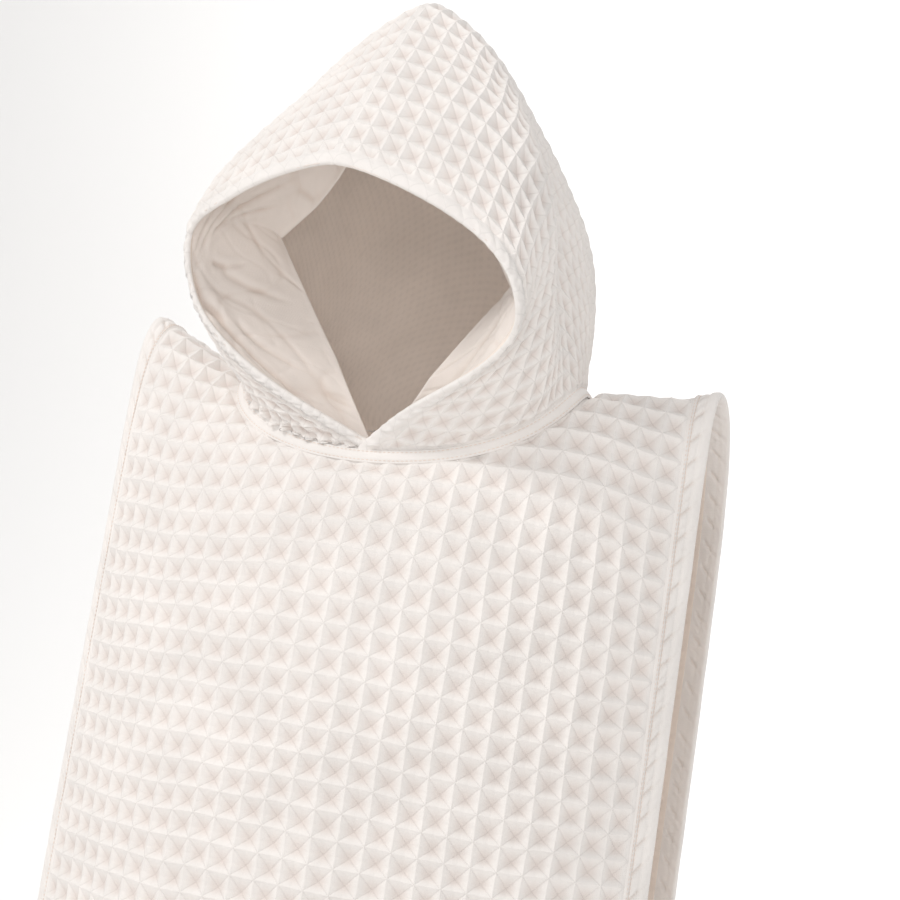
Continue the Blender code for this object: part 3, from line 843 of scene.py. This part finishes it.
def hood_net(side, cell):
    """Grid of a hood half: rows follow the centre seam, columns leave it square.

    A rib's place on the seam sets its column and the length along the rib from the seam its
    row. The result is the columns' places, the rows' lengths, how far each grid point lies
    past the neck end of its rib, and the points.
    """
    step = cell / HOOD_CELL_STEPS
    fine = np.linspace(0.0, len(RIBS) - 1.0, 801)
    seam = hood_at(side, fine, np.ones_like(fine))
    length = np.concatenate([[0.0], np.cumsum(np.linalg.norm(np.diff(seam, axis=0), axis=-1))])
    columns = int(length[-1] / step)
    place = np.interp(np.linspace(0.0, length[-1], columns + 1), length, fine)
    t = np.linspace(1.0, 0.0, 241)
    ribs = hood_at(side, place[:, None], t[None, :])
    run = np.linalg.norm(np.diff(ribs, axis=1), axis=-1)
    run = np.concatenate([np.zeros((len(place), 1)), np.cumsum(run, axis=1)], axis=1)
    longest = run[:, -1].max() + SEAM_FLAT
    rows = sunk(np.arange(int(math.ceil(longest / step)) + 1) / HOOD_CELL_STEPS) * cell
    t_at = np.stack([np.interp(rows, run[i], t) for i in range(len(place))])
    over = rows[None, :] - run[:, -1:]
    return place, rows, over, hood_at(side, place[:, None], t_at)


def hood_outward(points, rows):
    """Outward directions on a hood half's grid; beside the centre seam they turn into its plane."""
    outward = unit(np.cross(np.gradient(points, axis=0), np.gradient(points, axis=1)))
    if np.sum(outward * (points - points.mean(axis=(0, 1)))) < 0.0:
        outward = -outward
    ends = turned(np.array([[1.0, 0.0, 200.0], [0.0, 0.0, 200.0]]), 0.0)
    cross = unit(ends[0] - ends[1])
    near = ease(1.0 - rows / 6.0)[None, :, None]
    return unit(outward * (1.0 - near) + unit(outward - cross * dot(outward, cross)) * near)


def hood_gathers(side, points, above, from_edge):
    """Gathers over the neck seam, from -1 to 1: waves along the ring under each point, which
    fade with the height above the seam and towards the rolled edge."""
    reach = 30.0 if side < 0 else 16.0
    bow = neck_at(side * np.linspace(0.0, 90.0, 91))
    bow_run = np.concatenate([[0.0], np.cumsum(np.linalg.norm(np.diff(bow, axis=0), axis=-1))])
    under = np.interp(side * points[..., 0], side * bow[:, 0], bow_run)
    gather = np.sin(2.0 * np.pi * (under + 2.0 * wander(under, above, 31.0, 4)) / 10.5)
    return gather * np.exp(-above / reach) * ease(above / 3.0) * ease((from_edge - 5.0) / 8.0)


def rolled_edge(side, seam_gap, from_edge, neck_run):
    """Heights of the opening's rolled edge: a round bead with a valley behind it, and the
    slanting pleats across both."""
    bead = np.sin(np.pi * np.clip(from_edge / 7.5, 0.0, 1.0)) ** 0.7
    rolled = 1.5 * bead - 0.9 * bump(from_edge - 8.2, 1.3)
    rolled = rolled * (1.0 + 0.25 * wander(seam_gap, from_edge, 37.0, 14))
    slant = 2.0 * np.pi * (seam_gap + 0.8 * from_edge) / 8.6
    pleat = np.sin(slant + 2.4 * wander(seam_gap, neck_run, 40.0, 2))
    pleat = 0.55 * pleat - 0.7 * bump(wander(seam_gap, from_edge, 23.0, 15), 0.12)
    pleat = pleat * (0.35 + 0.65 * ease((seam_gap - 60.0) / 80.0)) * ease(1.0 - (from_edge - 1.0) / 11.0)
    return rolled, pleat * (1.7 if side < 0 else 1.3)


def hood_half(name, side, slots):
    """A hood half on the weave's own grid. Past the neck end of a rib the cloth goes on straight
    down behind the tape."""
    weave = bpy.context.scene.poncho_weave
    cell = weave.cell / MM * HOOD_CELL_SHARE
    step = cell / HOOD_CELL_STEPS
    place, rows, over, points = hood_net(side, cell)
    ring = side * ring_angle(place)
    _, up, ring_out = neck_frame(ring)
    tail = SEAM_FLAT - 0.6
    points = points - up[:, None] * np.maximum(over, 0.0)[..., None]
    ahead = np.gradient(points, axis=0)
    outward = hood_outward(points, rows)
    stand = ease(1.0 + over / 8.0)[..., None]
    outward = unit(outward * (1.0 - stand) + ring_out[:, None] * stand)
    keep = over <= tail + step
    points = points + up[:, None] * np.maximum(over - tail, 0.0)[..., None]
    from_edge = np.linalg.norm(np.diff(points, axis=0, prepend=points[:1]), axis=-1)
    from_edge = np.cumsum(from_edge, axis=0)
    above = np.maximum(-over, 0.0)
    seam_gap = rows[None, :] + 0.0 * above
    points = points - unit(ahead) * let_forward(seam_gap, from_edge)
    flat = ease((seam_gap - 1.0) / 3.0) * ease((above - 1.5) / 5.0) * ease((from_edge - 6.0) / 4.0)
    flat = flat * ease((from_edge[-1:] - from_edge + 14.0) / 20.0)
    u = np.arange(len(place))[:, None] / HOOD_CELL_STEPS
    v = np.arange(len(rows))[None, :] / HOOD_CELL_STEPS
    height = waffle(u + 0.0 * v, v + 0.0 * u)
    squeeze = np.clip(np.linalg.norm(ahead, axis=-1) / step, 0.35, 1.1)
    low_down = ease((110.0 - above) / 90.0)
    deep = weave.depth / MM * 0.84 * (0.55 + 0.45 * squeeze)
    deep = deep * (1.0 - 0.35 * low_down * (1.0 if side > 0 else 0.4))
    offset = flat * (height - 0.28) * deep
    offset = offset + (1.0 - flat) * 0.4
    neck_steps = np.diff(neck_at(ring), axis=0, prepend=neck_at(ring[:1]))
    neck_run = np.cumsum(np.linalg.norm(neck_steps, axis=-1))[:, None]
    gather = hood_gathers(side, points, above, from_edge)
    front = ease((170.0 - neck_run) / 60.0)
    offset = offset + gather * (2.6 if side < 0 else 1.0) * (0.35 + 0.65 * front)
    offset = offset + (1.9 if side < 0 else 0.6) * bump(above - 4.0, 6.0) * front
    if side < 0:
        bulge = 4.6 * bump(above, 9.0) * np.exp(-neck_run / 50.0)
        offset = offset + bulge * ease((neck_run - 9.0) / 14.0)
    crumple = wander(neck_run, above, 34.0, 7 + side) * 1.1 * low_down
    crumple = crumple + wander(neck_run, above, 17.0, 11 + side) * 0.5 * low_down
    offset = offset + crumple * ease((from_edge - 4.0) / 10.0) * ease(above / 8.0) * ease(seam_gap / 20.0)
    rolled, pleats = rolled_edge(side, seam_gap, from_edge, neck_run)
    offset = offset + rolled + pleats
    offset = offset - 1.0 * bump(seam_gap, 1.4) + 0.5 * bump(seam_gap - 3.0, 1.2)
    cloth = weave.cloth / MM
    thick_in = cloth + 0.6 + 1.2 * ease(1.0 - (from_edge - 1.0) / 6.5)
    weft = 0.22 * np.sin(2.0 * np.pi * v * 2.5) + 0.22 * np.sin(2.0 * np.pi * u * 2.5)
    first, second = cell_triangles(len(place), len(rows), HOOD_CELL_STEPS)
    triangles = np.concatenate([first, second])
    triangles = triangles[keep.ravel()[triangles].all(axis=1)]
    triangles = triangles[~(over >= tail).ravel()[triangles].all(axis=1)]
    return shell(
        name,
        (points + outward * (offset + 0.5 * cloth)[..., None]).reshape(-1, 3),
        (points - outward * (thick_in + weft * flat)[..., None]).reshape(-1, 3),
        triangles,
        slots,
        np.stack([u + 0.0 * v, v + 0.0 * u], axis=-1).reshape(-1, 2) * weave.cell / MM,
        # painted shade: lower in the pits of the cells and in the hollows of the gathers near the front
        (1.0 - flat * (1.0 - height) - 0.6 * np.clip(-gather, 0.0, 1.0) * front).ravel(),
        crisp=(flat > 0.5).ravel(),
        rim_steps=6,
        bulge=0.9,
    )


def crease_depth(side, t, q):
    """Sum of the facing's pressed creases: each a soft valley beside a straight line."""
    along = t * FACING_RUN
    into = q * FACING_REACH
    depth = np.zeros(np.broadcast(along, into).shape)
    for t0, q0, t1, q1, deep, width in FACING_CREASES[side]:
        start = np.array([t0 * FACING_RUN, q0 * FACING_REACH])
        line = np.array([t1 * FACING_RUN, q1 * FACING_REACH]) - start
        share = ((along - start[0]) * line[0] + (into - start[1]) * line[1]) / (line @ line)
        held = np.clip(share, 0.0, 1.0)
        bow = 5.0 * np.sin(np.pi * held)
        x = along - start[0] - held * line[0] + bow * line[1] / np.hypot(*line)
        y = into - start[1] - held * line[1] - bow * line[0] / np.hypot(*line)
        away = np.hypot(x, y)
        fade = ease(np.minimum(held / 0.15, (1.0 - held) / 0.35))
        depth = depth + deep * (bump(away, width) - 0.45 * bump(away - 1.9 * width, 1.4 * width)) * fade
    return depth


def facing_band(name, side, slots):
    """The plain facing of one half of the opening, creased where it is pulled inwards."""
    t = np.linspace(0.015, 1.0, 236)[:, None]
    q = np.linspace(0.0, 1.0, 60)[None, :]
    middle = facing_at(side, t, q)
    outward = unit(np.cross(np.gradient(middle, axis=0), np.gradient(middle, axis=1)))
    if side > 0:
        outward = -outward
    inner = -outward
    run = t * FACING_RUN
    into = q * FACING_REACH
    slack = wander(run + q * 60.0, into - t * 40.0, 74.0, 3 + side)
    tight = wander(run - q * 30.0, q * 50.0 + t * 90.0, 46.0, 6 + side)
    fine = wander(run + q * 40.0, q * 90.0 - t * 60.0, 29.0, 12 + side)
    meet = 0.9 * bump(slack, 0.06) + 0.7 * bump(tight, 0.07) + 0.4 * bump(fine, 0.09)
    depth = (1.5 * crease_depth(side, t, q) + meet) * ease(q / 0.08) * ease((1.02 - q) / 0.10)
    soft = 0.7 * wander(run, into, 80.0, 5 + side) * ease(q / 0.2) * ease((1.0 - q) / 0.25)
    turn = 0.5 * bump((1.0 - q) * FACING_REACH - 1.0, 1.6) + 0.0 * t
    lift = soft - depth + turn
    return net_shell(
        name,
        middle,
        inner,
        0.5 + lift,
        0.5 - lift,
        slots,
        (run, into),
        # painted shade: lower in the pressed creases of the facing
        0.75 * (1.0 - 0.28 * np.clip(depth, 0.0, 1.8)),
        rim_steps=4,
    )


def tape_ring(angle, lift):
    """Points on the neck tape: lift is the height above its middle line."""
    _, up, outward = neck_frame(angle)
    base = neck_at(angle) + outward * TAPE_OUT
    base = base + up * (TAPE_LIFT * np.sin(np.radians(angle)) ** 12)[:, None]
    return base + up * lift, outward


def neck_tape(name, side, slots):
    """A flat woven tape over the neck seam: its cross-section is a low cushion."""
    end = 180.0 if side > 0 else -180.0
    start = TAPE_JOIN if side > 0 else TAPE_JOIN + 0.35
    angle = np.linspace(start, end, 330)
    lift = np.linspace(-TAPE_HALF, TAPE_HALF, 13)
    middle = np.stack([tape_ring(angle, k)[0] for k in lift], axis=1)
    _, outward = tape_ring(angle, 0.0)
    outward = np.broadcast_to(outward[:, None], middle.shape)
    swell = 0.75 * (1.0 - (lift / TAPE_HALF) ** 4) - 0.45 * bump(np.abs(lift) - TAPE_STITCH_LIFT, 0.5)
    run = angle[:, None] * 2.3
    uneven = 0.16 * wander(run, lift[None, :] * 3.0, 26.0, 6)
    return net_shell(
        name,
        middle,
        outward,
        0.6 + swell[None, :] + uneven,
        0.5,
        slots,
        (run, lift[None, :]),
        rim_steps=4,
    )


# ---------------------------------------------------------------- finishes


def linear(hex_colour):
    """sRGB hex to a linear colour with alpha 1."""
    values = [int(hex_colour[i : i + 2], 16) / 255.0 for i in (0, 2, 4)]
    return tuple(v / 12.92 if v <= 0.04045 else ((v + 0.055) / 1.055) ** 2.4 for v in values) + (1.0,)


def add_node(tree, kind, settings=None, **inputs):
    """A node with its settings and its inputs: a number, a colour or another node's socket."""
    node = tree.nodes.new(kind)
    for key, value in (settings or {}).items():
        setattr(node, key, value)
    for key, value in inputs.items():
        name = int(key[1:]) if key[0] == "i" and key[1:].isdigit() else key.replace("_", " ")
        socket = node.inputs[name]
        if isinstance(value, bpy.types.NodeSocket):
            tree.links.new(value, socket)
        else:
            socket.default_value = value
    return node


def maths(tree, operation, first, second=None):
    """Result of a maths node of one or two inputs."""
    inputs = {"i0": first} if second is None else {"i0": first, "i1": second}
    return add_node(tree, "ShaderNodeMath", {"operation": operation}, **inputs).outputs[0]


def remap(tree, value, steps="LINEAR", **ends):
    """value taken from the range i1 to i2 into the range i3 to i4."""
    return add_node(
        tree, "ShaderNodeMapRange", {"interpolation_type": steps}, Value=value, **ends
    ).outputs[0]


def stripes(tree, way, place, spacing, distortion):
    """Soft stripes a spacing apart: at scale 1 the wave texture repeats every 2 pi / 20."""
    scale = 2.0 * math.pi / spacing / 20.0
    settings = {"bands_direction": way}
    inputs = {"Vector": place, "Scale": scale, "Distortion": distortion}
    return add_node(tree, "ShaderNodeTexWave", settings, **inputs).outputs[1]


def cotton(name, light, dark, thread, ribs, fold=0.0, block=0.0, rough=0.88, sheen=0.2):
    """Woven cotton: threads both ways, painted shade in the pits and creases, uneven bleaching.

    fold is how much painted shade darkens the valleys of its cells, which are where both
    distances from the cell's middle lines are the same; it also sets the strength of their bump.
    light is the lit colour, and dark the colour of painted shade that is mixed in where the
    shade attribute is low. block is how much the soft squares of the reverse differ.
    """
    material = bpy.data.materials.new(name)
    material.use_nodes = True
    tree = material.node_tree
    tree.nodes.clear()
    shader = add_node(tree, "ShaderNodeBsdfPrincipled", Roughness=rough)
    shader.inputs["IOR"].default_value = 1.5
    shader.inputs["Specular IOR Level"].default_value = 0.25
    shader.inputs["Sheen Weight"].default_value = sheen
    shader.inputs["Sheen Roughness"].default_value = 0.5
    out = add_node(tree, "ShaderNodeOutputMaterial")
    tree.links.new(shader.outputs[0], out.inputs[0])
    place = add_node(tree, "ShaderNodeUVMap", {"uv_map": "cloth"}).outputs[0]
    body = add_node(tree, "ShaderNodeTexCoord").outputs["Object"]
    cloud = add_node(tree, "ShaderNodeTexNoise", Vector=body, Scale=28.0, Detail=3.0).outputs[0]
    # painted shade: the dark colour is mixed in where the shade attribute is low, in pits, creases and
    # gather hollows
    painted_shade = add_node(tree, "ShaderNodeAttribute", {"attribute_name": "painted_shade"}).outputs["Fac"]
    depth = remap(tree, painted_shade, "SMOOTHSTEP", i1=0.0, i2=0.75)
    mix = add_node(tree, "ShaderNodeMix", {"data_type": "RGBA"}, i0=depth, i6=linear(dark), i7=linear(light))
    cloudy = remap(tree, cloud, i1=0.3, i2=0.7, i3=0.95, i4=1.02)
    cell = bpy.context.scene.poncho_weave.cell
    parts = add_node(tree, "ShaderNodeSeparateXYZ", i0=place)
    spans = []
    for k in (0, 1):
        count = maths(tree, "DIVIDE", parts.outputs[k], cell)
        spans.append(maths(tree, "PINGPONG", count, 0.5))
    apart = maths(tree, "ABSOLUTE", maths(tree, "SUBTRACT", spans[0], spans[1]))
    valley = remap(tree, apart, "SMOOTHSTEP", i1=0.0, i2=0.06)
    # painted shade: the cloth darkened along the valleys of its cells
    valley_shade = remap(tree, valley, i3=1.0 - fold, i4=1.0)
    squares = add_node(
        tree, "ShaderNodeTexNoise", {"noise_dimensions": "3D"}, Vector=place, Scale=150.0, Detail=0.0
    ).outputs[0]
    bands = [stripes(tree, way, place, cell * 0.4, 1.2) for way in ("X", "Y")]
    checks = maths(tree, "MULTIPLY", maths(tree, "ADD", bands[0], bands[1]), squares)
    faded = remap(tree, checks, i1=0.0, i2=0.5, i3=1.0 - block, i4=1.0)
    # uneven bleaching and the squares of the reverse, times the painted shade along the valleys
    tone_and_shade = maths(tree, "MULTIPLY", maths(tree, "MULTIPLY", cloudy, valley_shade), faded)
    scaled = add_node(tree, "ShaderNodeVectorMath", {"operation": "SCALE"}, i0=mix.outputs[2], Scale=tone_and_shade)
    tree.links.new(scaled.outputs[0], shader.inputs["Base Color"])
    warp, weft = (stripes(tree, way, place, thread * MM, 0.6) for way in ("X", "Y"))
    woven = maths(tree, "MAXIMUM", warp, weft)
    fuzz = add_node(tree, "ShaderNodeTexNoise", Vector=body, Scale=900.0, Detail=2.0).outputs[0]
    normal = add_node(tree, "ShaderNodeBump", Strength=ribs, Distance=0.0004, Height=woven).outputs[0]
    for strength, distance, height in ((4.0 * fold, 0.0006, valley), (0.25, 0.0005, fuzz)):
        normal = add_node(
            tree, "ShaderNodeBump", Strength=strength, Distance=distance, Height=height, Normal=normal
        ).outputs[0]
    tree.links.new(normal, shader.inputs["Normal"])
    return material


def finishes():
    """The poncho's materials, made once.

    Honeycomb cotton is loosely woven from soft-spun yarn, matt with a fine fuzz: threads about
    1.1 mm apart, drawn a little coarse so that they show. The facing and the tape are plain
    woven cotton with finer threads, smoother and pressed. The thread is glossy spun cotton.
    """
    made = {m.name: m for m in bpy.data.materials}
    tint = bpy.context.scene.poncho_colours
    if "honeycomb_cotton" not in made:
        # each finish: name, lit colour, colour of painted shade, thread spacing, thread bump and other
        # settings
        for name, light, dark, thread, ribs, other in (
            ("honeycomb_cotton", tint.cloth, tint.pit_shade, 1.1, 0.35, {"fold": 0.055}),
            ("honeycomb_reverse", tint.reverse, tint.reverse, 1.1, 0.3, {"block": 0.05}),
            # the reverse colour stands as painted shade in the creases of the hems' inner faces
            ("hem_reverse", tint.tape, tint.reverse, 1.1, 0.3, {}),
            ("pressed_hem_cotton", tint.tape, tint.crease, 1.1, 0.3, {}),
            ("plain_facing_cotton", tint.facing, tint.crease, 0.8, 0.18, {}),
            ("woven_neck_tape", tint.tape, tint.tape, 0.7, 0.25, {}),
            ("spun_cotton_thread", tint.thread, tint.thread, 0.7, 0.0, {"rough": 0.6, "sheen": 0.1}),
        ):
            made[name] = cotton(name, light, dark, thread, ribs, **other)
    return made


# ---------------------------------------------------------------- stage


def backdrop(height):
    """A pale floor that curves up into a back wall."""
    material = bpy.data.materials.new("pale_floor")
    material.use_nodes = True
    paint = material.node_tree.nodes["Principled BSDF"]
    paint.inputs["Base Color"].default_value = linear("F7F6F5")
    paint.inputs["Roughness"].default_value = 0.9
    mesh = bpy.data.meshes.new("studio_floor")
    turn = np.radians(np.linspace(0.0, 90.0, 19))
    back = np.concatenate([[-9.0], 2.4 + 1.5 * np.sin(turn), [3.9]])
    high = np.concatenate([[0.0], 1.5 - 1.5 * np.cos(turn), [5.0]]) + height
    edge = np.array([-9.0, 9.0])
    corners = np.stack(np.broadcast_arrays(edge[:, None], back, high), axis=-1).reshape(-1, 3)
    k = np.arange(len(back) - 1)
    strips = np.stack([k, k + len(back), k + len(back) + 1, k + 1], axis=-1)
    mesh.from_pydata(corners.tolist(), [], strips.tolist())
    mesh.polygons.foreach_set("use_smooth", np.ones(len(strips), bool))
    mesh.materials.append(material)
    floor = bpy.data.objects.new("studio_floor", mesh)
    bpy.context.scene.collection.objects.link(floor)


def area_light(name, spot, size, power, colour, rotation):
    """A square area light."""
    light = bpy.data.lights.new(name, "AREA")
    light.size = size
    light.energy = power
    light.color = linear(colour)[:3]
    lamp = bpy.data.objects.new(name, light)
    lamp.location = spot
    lamp.rotation_euler = rotation
    bpy.context.scene.collection.objects.link(lamp)


def studio_lights():
    """Two lights that look at the garment, one over the backdrop, and an even white world."""
    world = bpy.data.worlds.new("studio")
    world.use_nodes = True
    sky = world.node_tree.nodes["Background"]
    sky.inputs[0].default_value = linear("FFFFFF")
    sky.inputs[1].default_value = 0.63
    bpy.context.scene.world = world
    target = Vector((0.0, 0.0, -0.1))
    for name, spot, size, power in (
        ("key", (-1.65, -1.45, 1.85), 0.6, 28.0),
        ("front", (0.9, -2.4, 0.2), 1.2, 12.0),
    ):
        rotation = (target - Vector(spot)).to_track_quat("-Z", "Y").to_euler()
        area_light(name, spot, size, power, "FFFDFB", rotation)
    area_light("backdrop_light", (0.0, 1.5, 2.4), 3.0, 70.0, "FFFFFF", (math.radians(65.0), 0.0, 0.0))


def place_camera(stage):
    """The camera at its distance from the aim, turned by its azimuth, elevation and roll."""
    camera = bpy.data.cameras.new("camera")
    camera.lens = stage.lens
    camera.sensor_width = 36.0
    holder = bpy.data.objects.new("camera", camera)
    bpy.context.scene.collection.objects.link(holder)
    a, e, r = stage.azimuth, stage.elevation, stage.roll
    forward = Vector((-math.sin(a) * math.cos(e), math.cos(a) * math.cos(e), -math.sin(e)))
    right = Vector((math.cos(a), math.sin(a), 0.0))
    up = right.cross(forward)
    x_axis = right * math.cos(r) + up * math.sin(r)
    y_axis = up * math.cos(r) - right * math.sin(r)
    place = Vector(CAMERA_AIM) - forward * stage.distance
    turn = Matrix((x_axis, y_axis, -forward)).transposed()
    holder.matrix_world = Matrix.Translation(place) @ turn.to_4x4()
    bpy.context.scene.camera = holder


# ---------------------------------------------------------------- operators


class PONCHO_OT_body(bpy.types.Operator):
    """Front and back of honeycomb cotton"""

    bl_idname = "poncho.body"
    bl_label = "Body"

    def execute(self, context):
        cloth = finishes()
        slots = [cloth["honeycomb_cotton"], cloth["honeycomb_reverse"]]
        for node, side, drop in (("front", 1, NECK_FRONT_DROP), ("back", -1, NECK_BACK_DROP)):
            piece = body_cloth(f"{node}_cloth", side, slots)
            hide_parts(node)
        return {"FINISHED"}


class PONCHO_OT_hems(bpy.types.Operator):
    """Turned hems down both sides and along the bottom"""

    bl_idname = "poncho.hems"
    bl_label = "Hems"

    def execute(self, context):
        cloth = finishes()
        slots = [cloth["pressed_hem_cotton"], cloth["hem_reverse"]]
        inner = HALF_WIDTH - HEM_WIDTH
        for node, side in (("side_hem_left", 1), ("side_hem_right", -1)):
            across = side * np.linspace(inner, HALF_WIDTH, 19)[:, None]
            down = np.linspace(-PANEL_LENGTH, PANEL_LENGTH, 760)[None, :]
            across, down = np.broadcast_arrays(across, down)
            piece = hem_band(f"{node}_band", across, down, side, slots, 2 + side)
            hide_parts(node)
        for node, side in (("bottom_hem_front", 1), ("bottom_hem_back", -1)):
            down = side * np.linspace(PANEL_LENGTH - HEM_WIDTH, PANEL_LENGTH, 19)[:, None]
            across = np.linspace(-inner, inner, 290)[None, :]
            across, down = np.broadcast_arrays(across, down)
            piece = hem_band(f"{node}_band", across, down, 0, slots, 8 + side)
            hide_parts(node)
        return {"FINISHED"}


class PONCHO_OT_hood(bpy.types.Operator):
    """Two hood halves with a rolled edge"""

    bl_idname = "poncho.hood"
    bl_label = "Hood"

    def execute(self, context):
        cloth = finishes()
        slots = [cloth["honeycomb_cotton"], cloth["honeycomb_reverse"]]
        for node, side in (("hood_left", 1), ("hood_right", -1)):
            piece = hood_half(f"{node}_half", side, slots)
            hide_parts(node)
        return {"FINISHED"}


class PONCHO_OT_facing(bpy.types.Operator):
    """Plain facing inside the opening"""

    bl_idname = "poncho.facing"
    bl_label = "Facing"

    def execute(self, context):
        cloth = finishes()
        for node, side in (("facing_left", 1), ("facing_right", -1)):
            piece = facing_band(f"{node}_band", side, [cloth["plain_facing_cotton"]])
            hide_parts(node)
        return {"FINISHED"}


class PONCHO_OT_tape(bpy.types.Operator):
    """Tape over the neck seam"""

    bl_idname = "poncho.tape"
    bl_label = "Neck tape"

    def execute(self, context):
        cloth = finishes()
        for node, side in (("neck_tape_left", 1), ("neck_tape_right", -1)):
            piece = neck_tape(f"{node}_strip", side, [cloth["woven_neck_tape"]])
            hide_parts(node)
        return {"FINISHED"}


class PONCHO_OT_stitching(bpy.types.Operator):
    """Top-stitching of the tape and the hems"""

    bl_idname = "poncho.stitching"
    bl_label = "Top-stitching"

    def execute(self, context):
        thread = [finishes()["spun_cotton_thread"]]
        length = context.scene.poncho_weave.stitch / MM
        angle = np.linspace(-180.0, 180.0, 721)
        for label, lift in (("upper", TAPE_STITCH_LIFT), ("lower", -TAPE_STITCH_LIFT)):
            path, outward = tape_ring(angle, lift)
            piece = stitches(f"tape_stitches_{label}", path + outward * 0.95, outward, length, thread)
        inner = HALF_WIDTH - HEM_WIDTH
        thick = 0.5 * context.scene.poncho_weave.hem_cloth / MM
        down = np.linspace(-PANEL_LENGTH + 2.0, PANEL_LENGTH - 2.0, 1160)
        for label, side in (("left", 1), ("right", -1)):
            for row, place in (("inner", 0.7), ("outer", 2.5)):
                across = side * (inner + place) + 0.0 * down
                outward = unit(sample(BODY_OUT, across, down))
                path = sample(BODY, across, down) + outward * (thick + (0.7 if row == "inner" else 0.15))
                piece = stitches(f"side_stitches_{label}_{row}", path, outward, length, thread)
        across = np.linspace(-inner + 1.0, inner - 1.0, 430)
        for label, side in (("front", 1), ("back", -1)):
            for row, place in (("upper", 0.7), ("lower", 2.5)):
                run = side * (PANEL_LENGTH - HEM_WIDTH + place) + 0.0 * across
                outward = unit(sample(BODY_OUT, across, run))
                path = sample(BODY, across, run) + outward * (thick + (0.7 if row == "upper" else 0.15))
                piece = stitches(f"bottom_stitches_{label}_{row}", path, outward, length, thread)
        return {"FINISHED"}


class PONCHO_OT_stage(bpy.types.Operator):
    """Pale floor, soft studio light and the camera"""

    bl_idname = "poncho.stage"
    bl_label = "Stage"

    def execute(self, context):
        stage = context.scene.poncho_stage
        backdrop(stage.floor)
        studio_lights()
        context.scene.view_settings.view_transform = "Standard"
        place_camera(stage)
        return {"FINISHED"}


class PONCHO_PT_panel(bpy.types.Panel):
    """The poncho's sizes and pieces"""

    bl_label = "Hooded bath poncho"
    bl_idname = "PONCHO_PT_panel"
    bl_space_type = "VIEW_3D"
    bl_region_type = "UI"
    bl_category = "Poncho"

    def draw(self, context):
        scene = context.scene
        for group in (scene.poncho_weave, scene.poncho_colours, scene.poncho_stage):
            box = self.layout.box()
            for name in group.bl_rna.properties.keys():
                if name not in {"rna_type", "name"}:
                    box.prop(group, name)
        for operator in OPERATORS:
            self.layout.operator(operator.bl_idname)


OPERATORS = (
    PONCHO_OT_tape,
    PONCHO_OT_body,
    PONCHO_OT_hems,
    PONCHO_OT_hood,
    PONCHO_OT_facing,
    PONCHO_OT_stitching,
    PONCHO_OT_stage,
)
CLASSES = (PonchoWeave, PonchoColours, PonchoStage, *OPERATORS, PONCHO_PT_panel)


def register():
    for cls in CLASSES:
        bpy.utils.register_class(cls)
    bpy.types.Scene.poncho_weave = PointerProperty(type=PonchoWeave)
    bpy.types.Scene.poncho_colours = PointerProperty(type=PonchoColours)
    bpy.types.Scene.poncho_stage = PointerProperty(type=PonchoStage)


def unregister():
    del bpy.types.Scene.poncho_weave
    del bpy.types.Scene.poncho_colours
    del bpy.types.Scene.poncho_stage
    for cls in reversed(CLASSES):
        bpy.utils.unregister_class(cls)


def main():
    register()
    for operator in OPERATORS:
        group, name = operator.bl_idname.split(".")
        getattr(getattr(bpy.ops, group), name)()


if __name__ == "__main__":
    main()
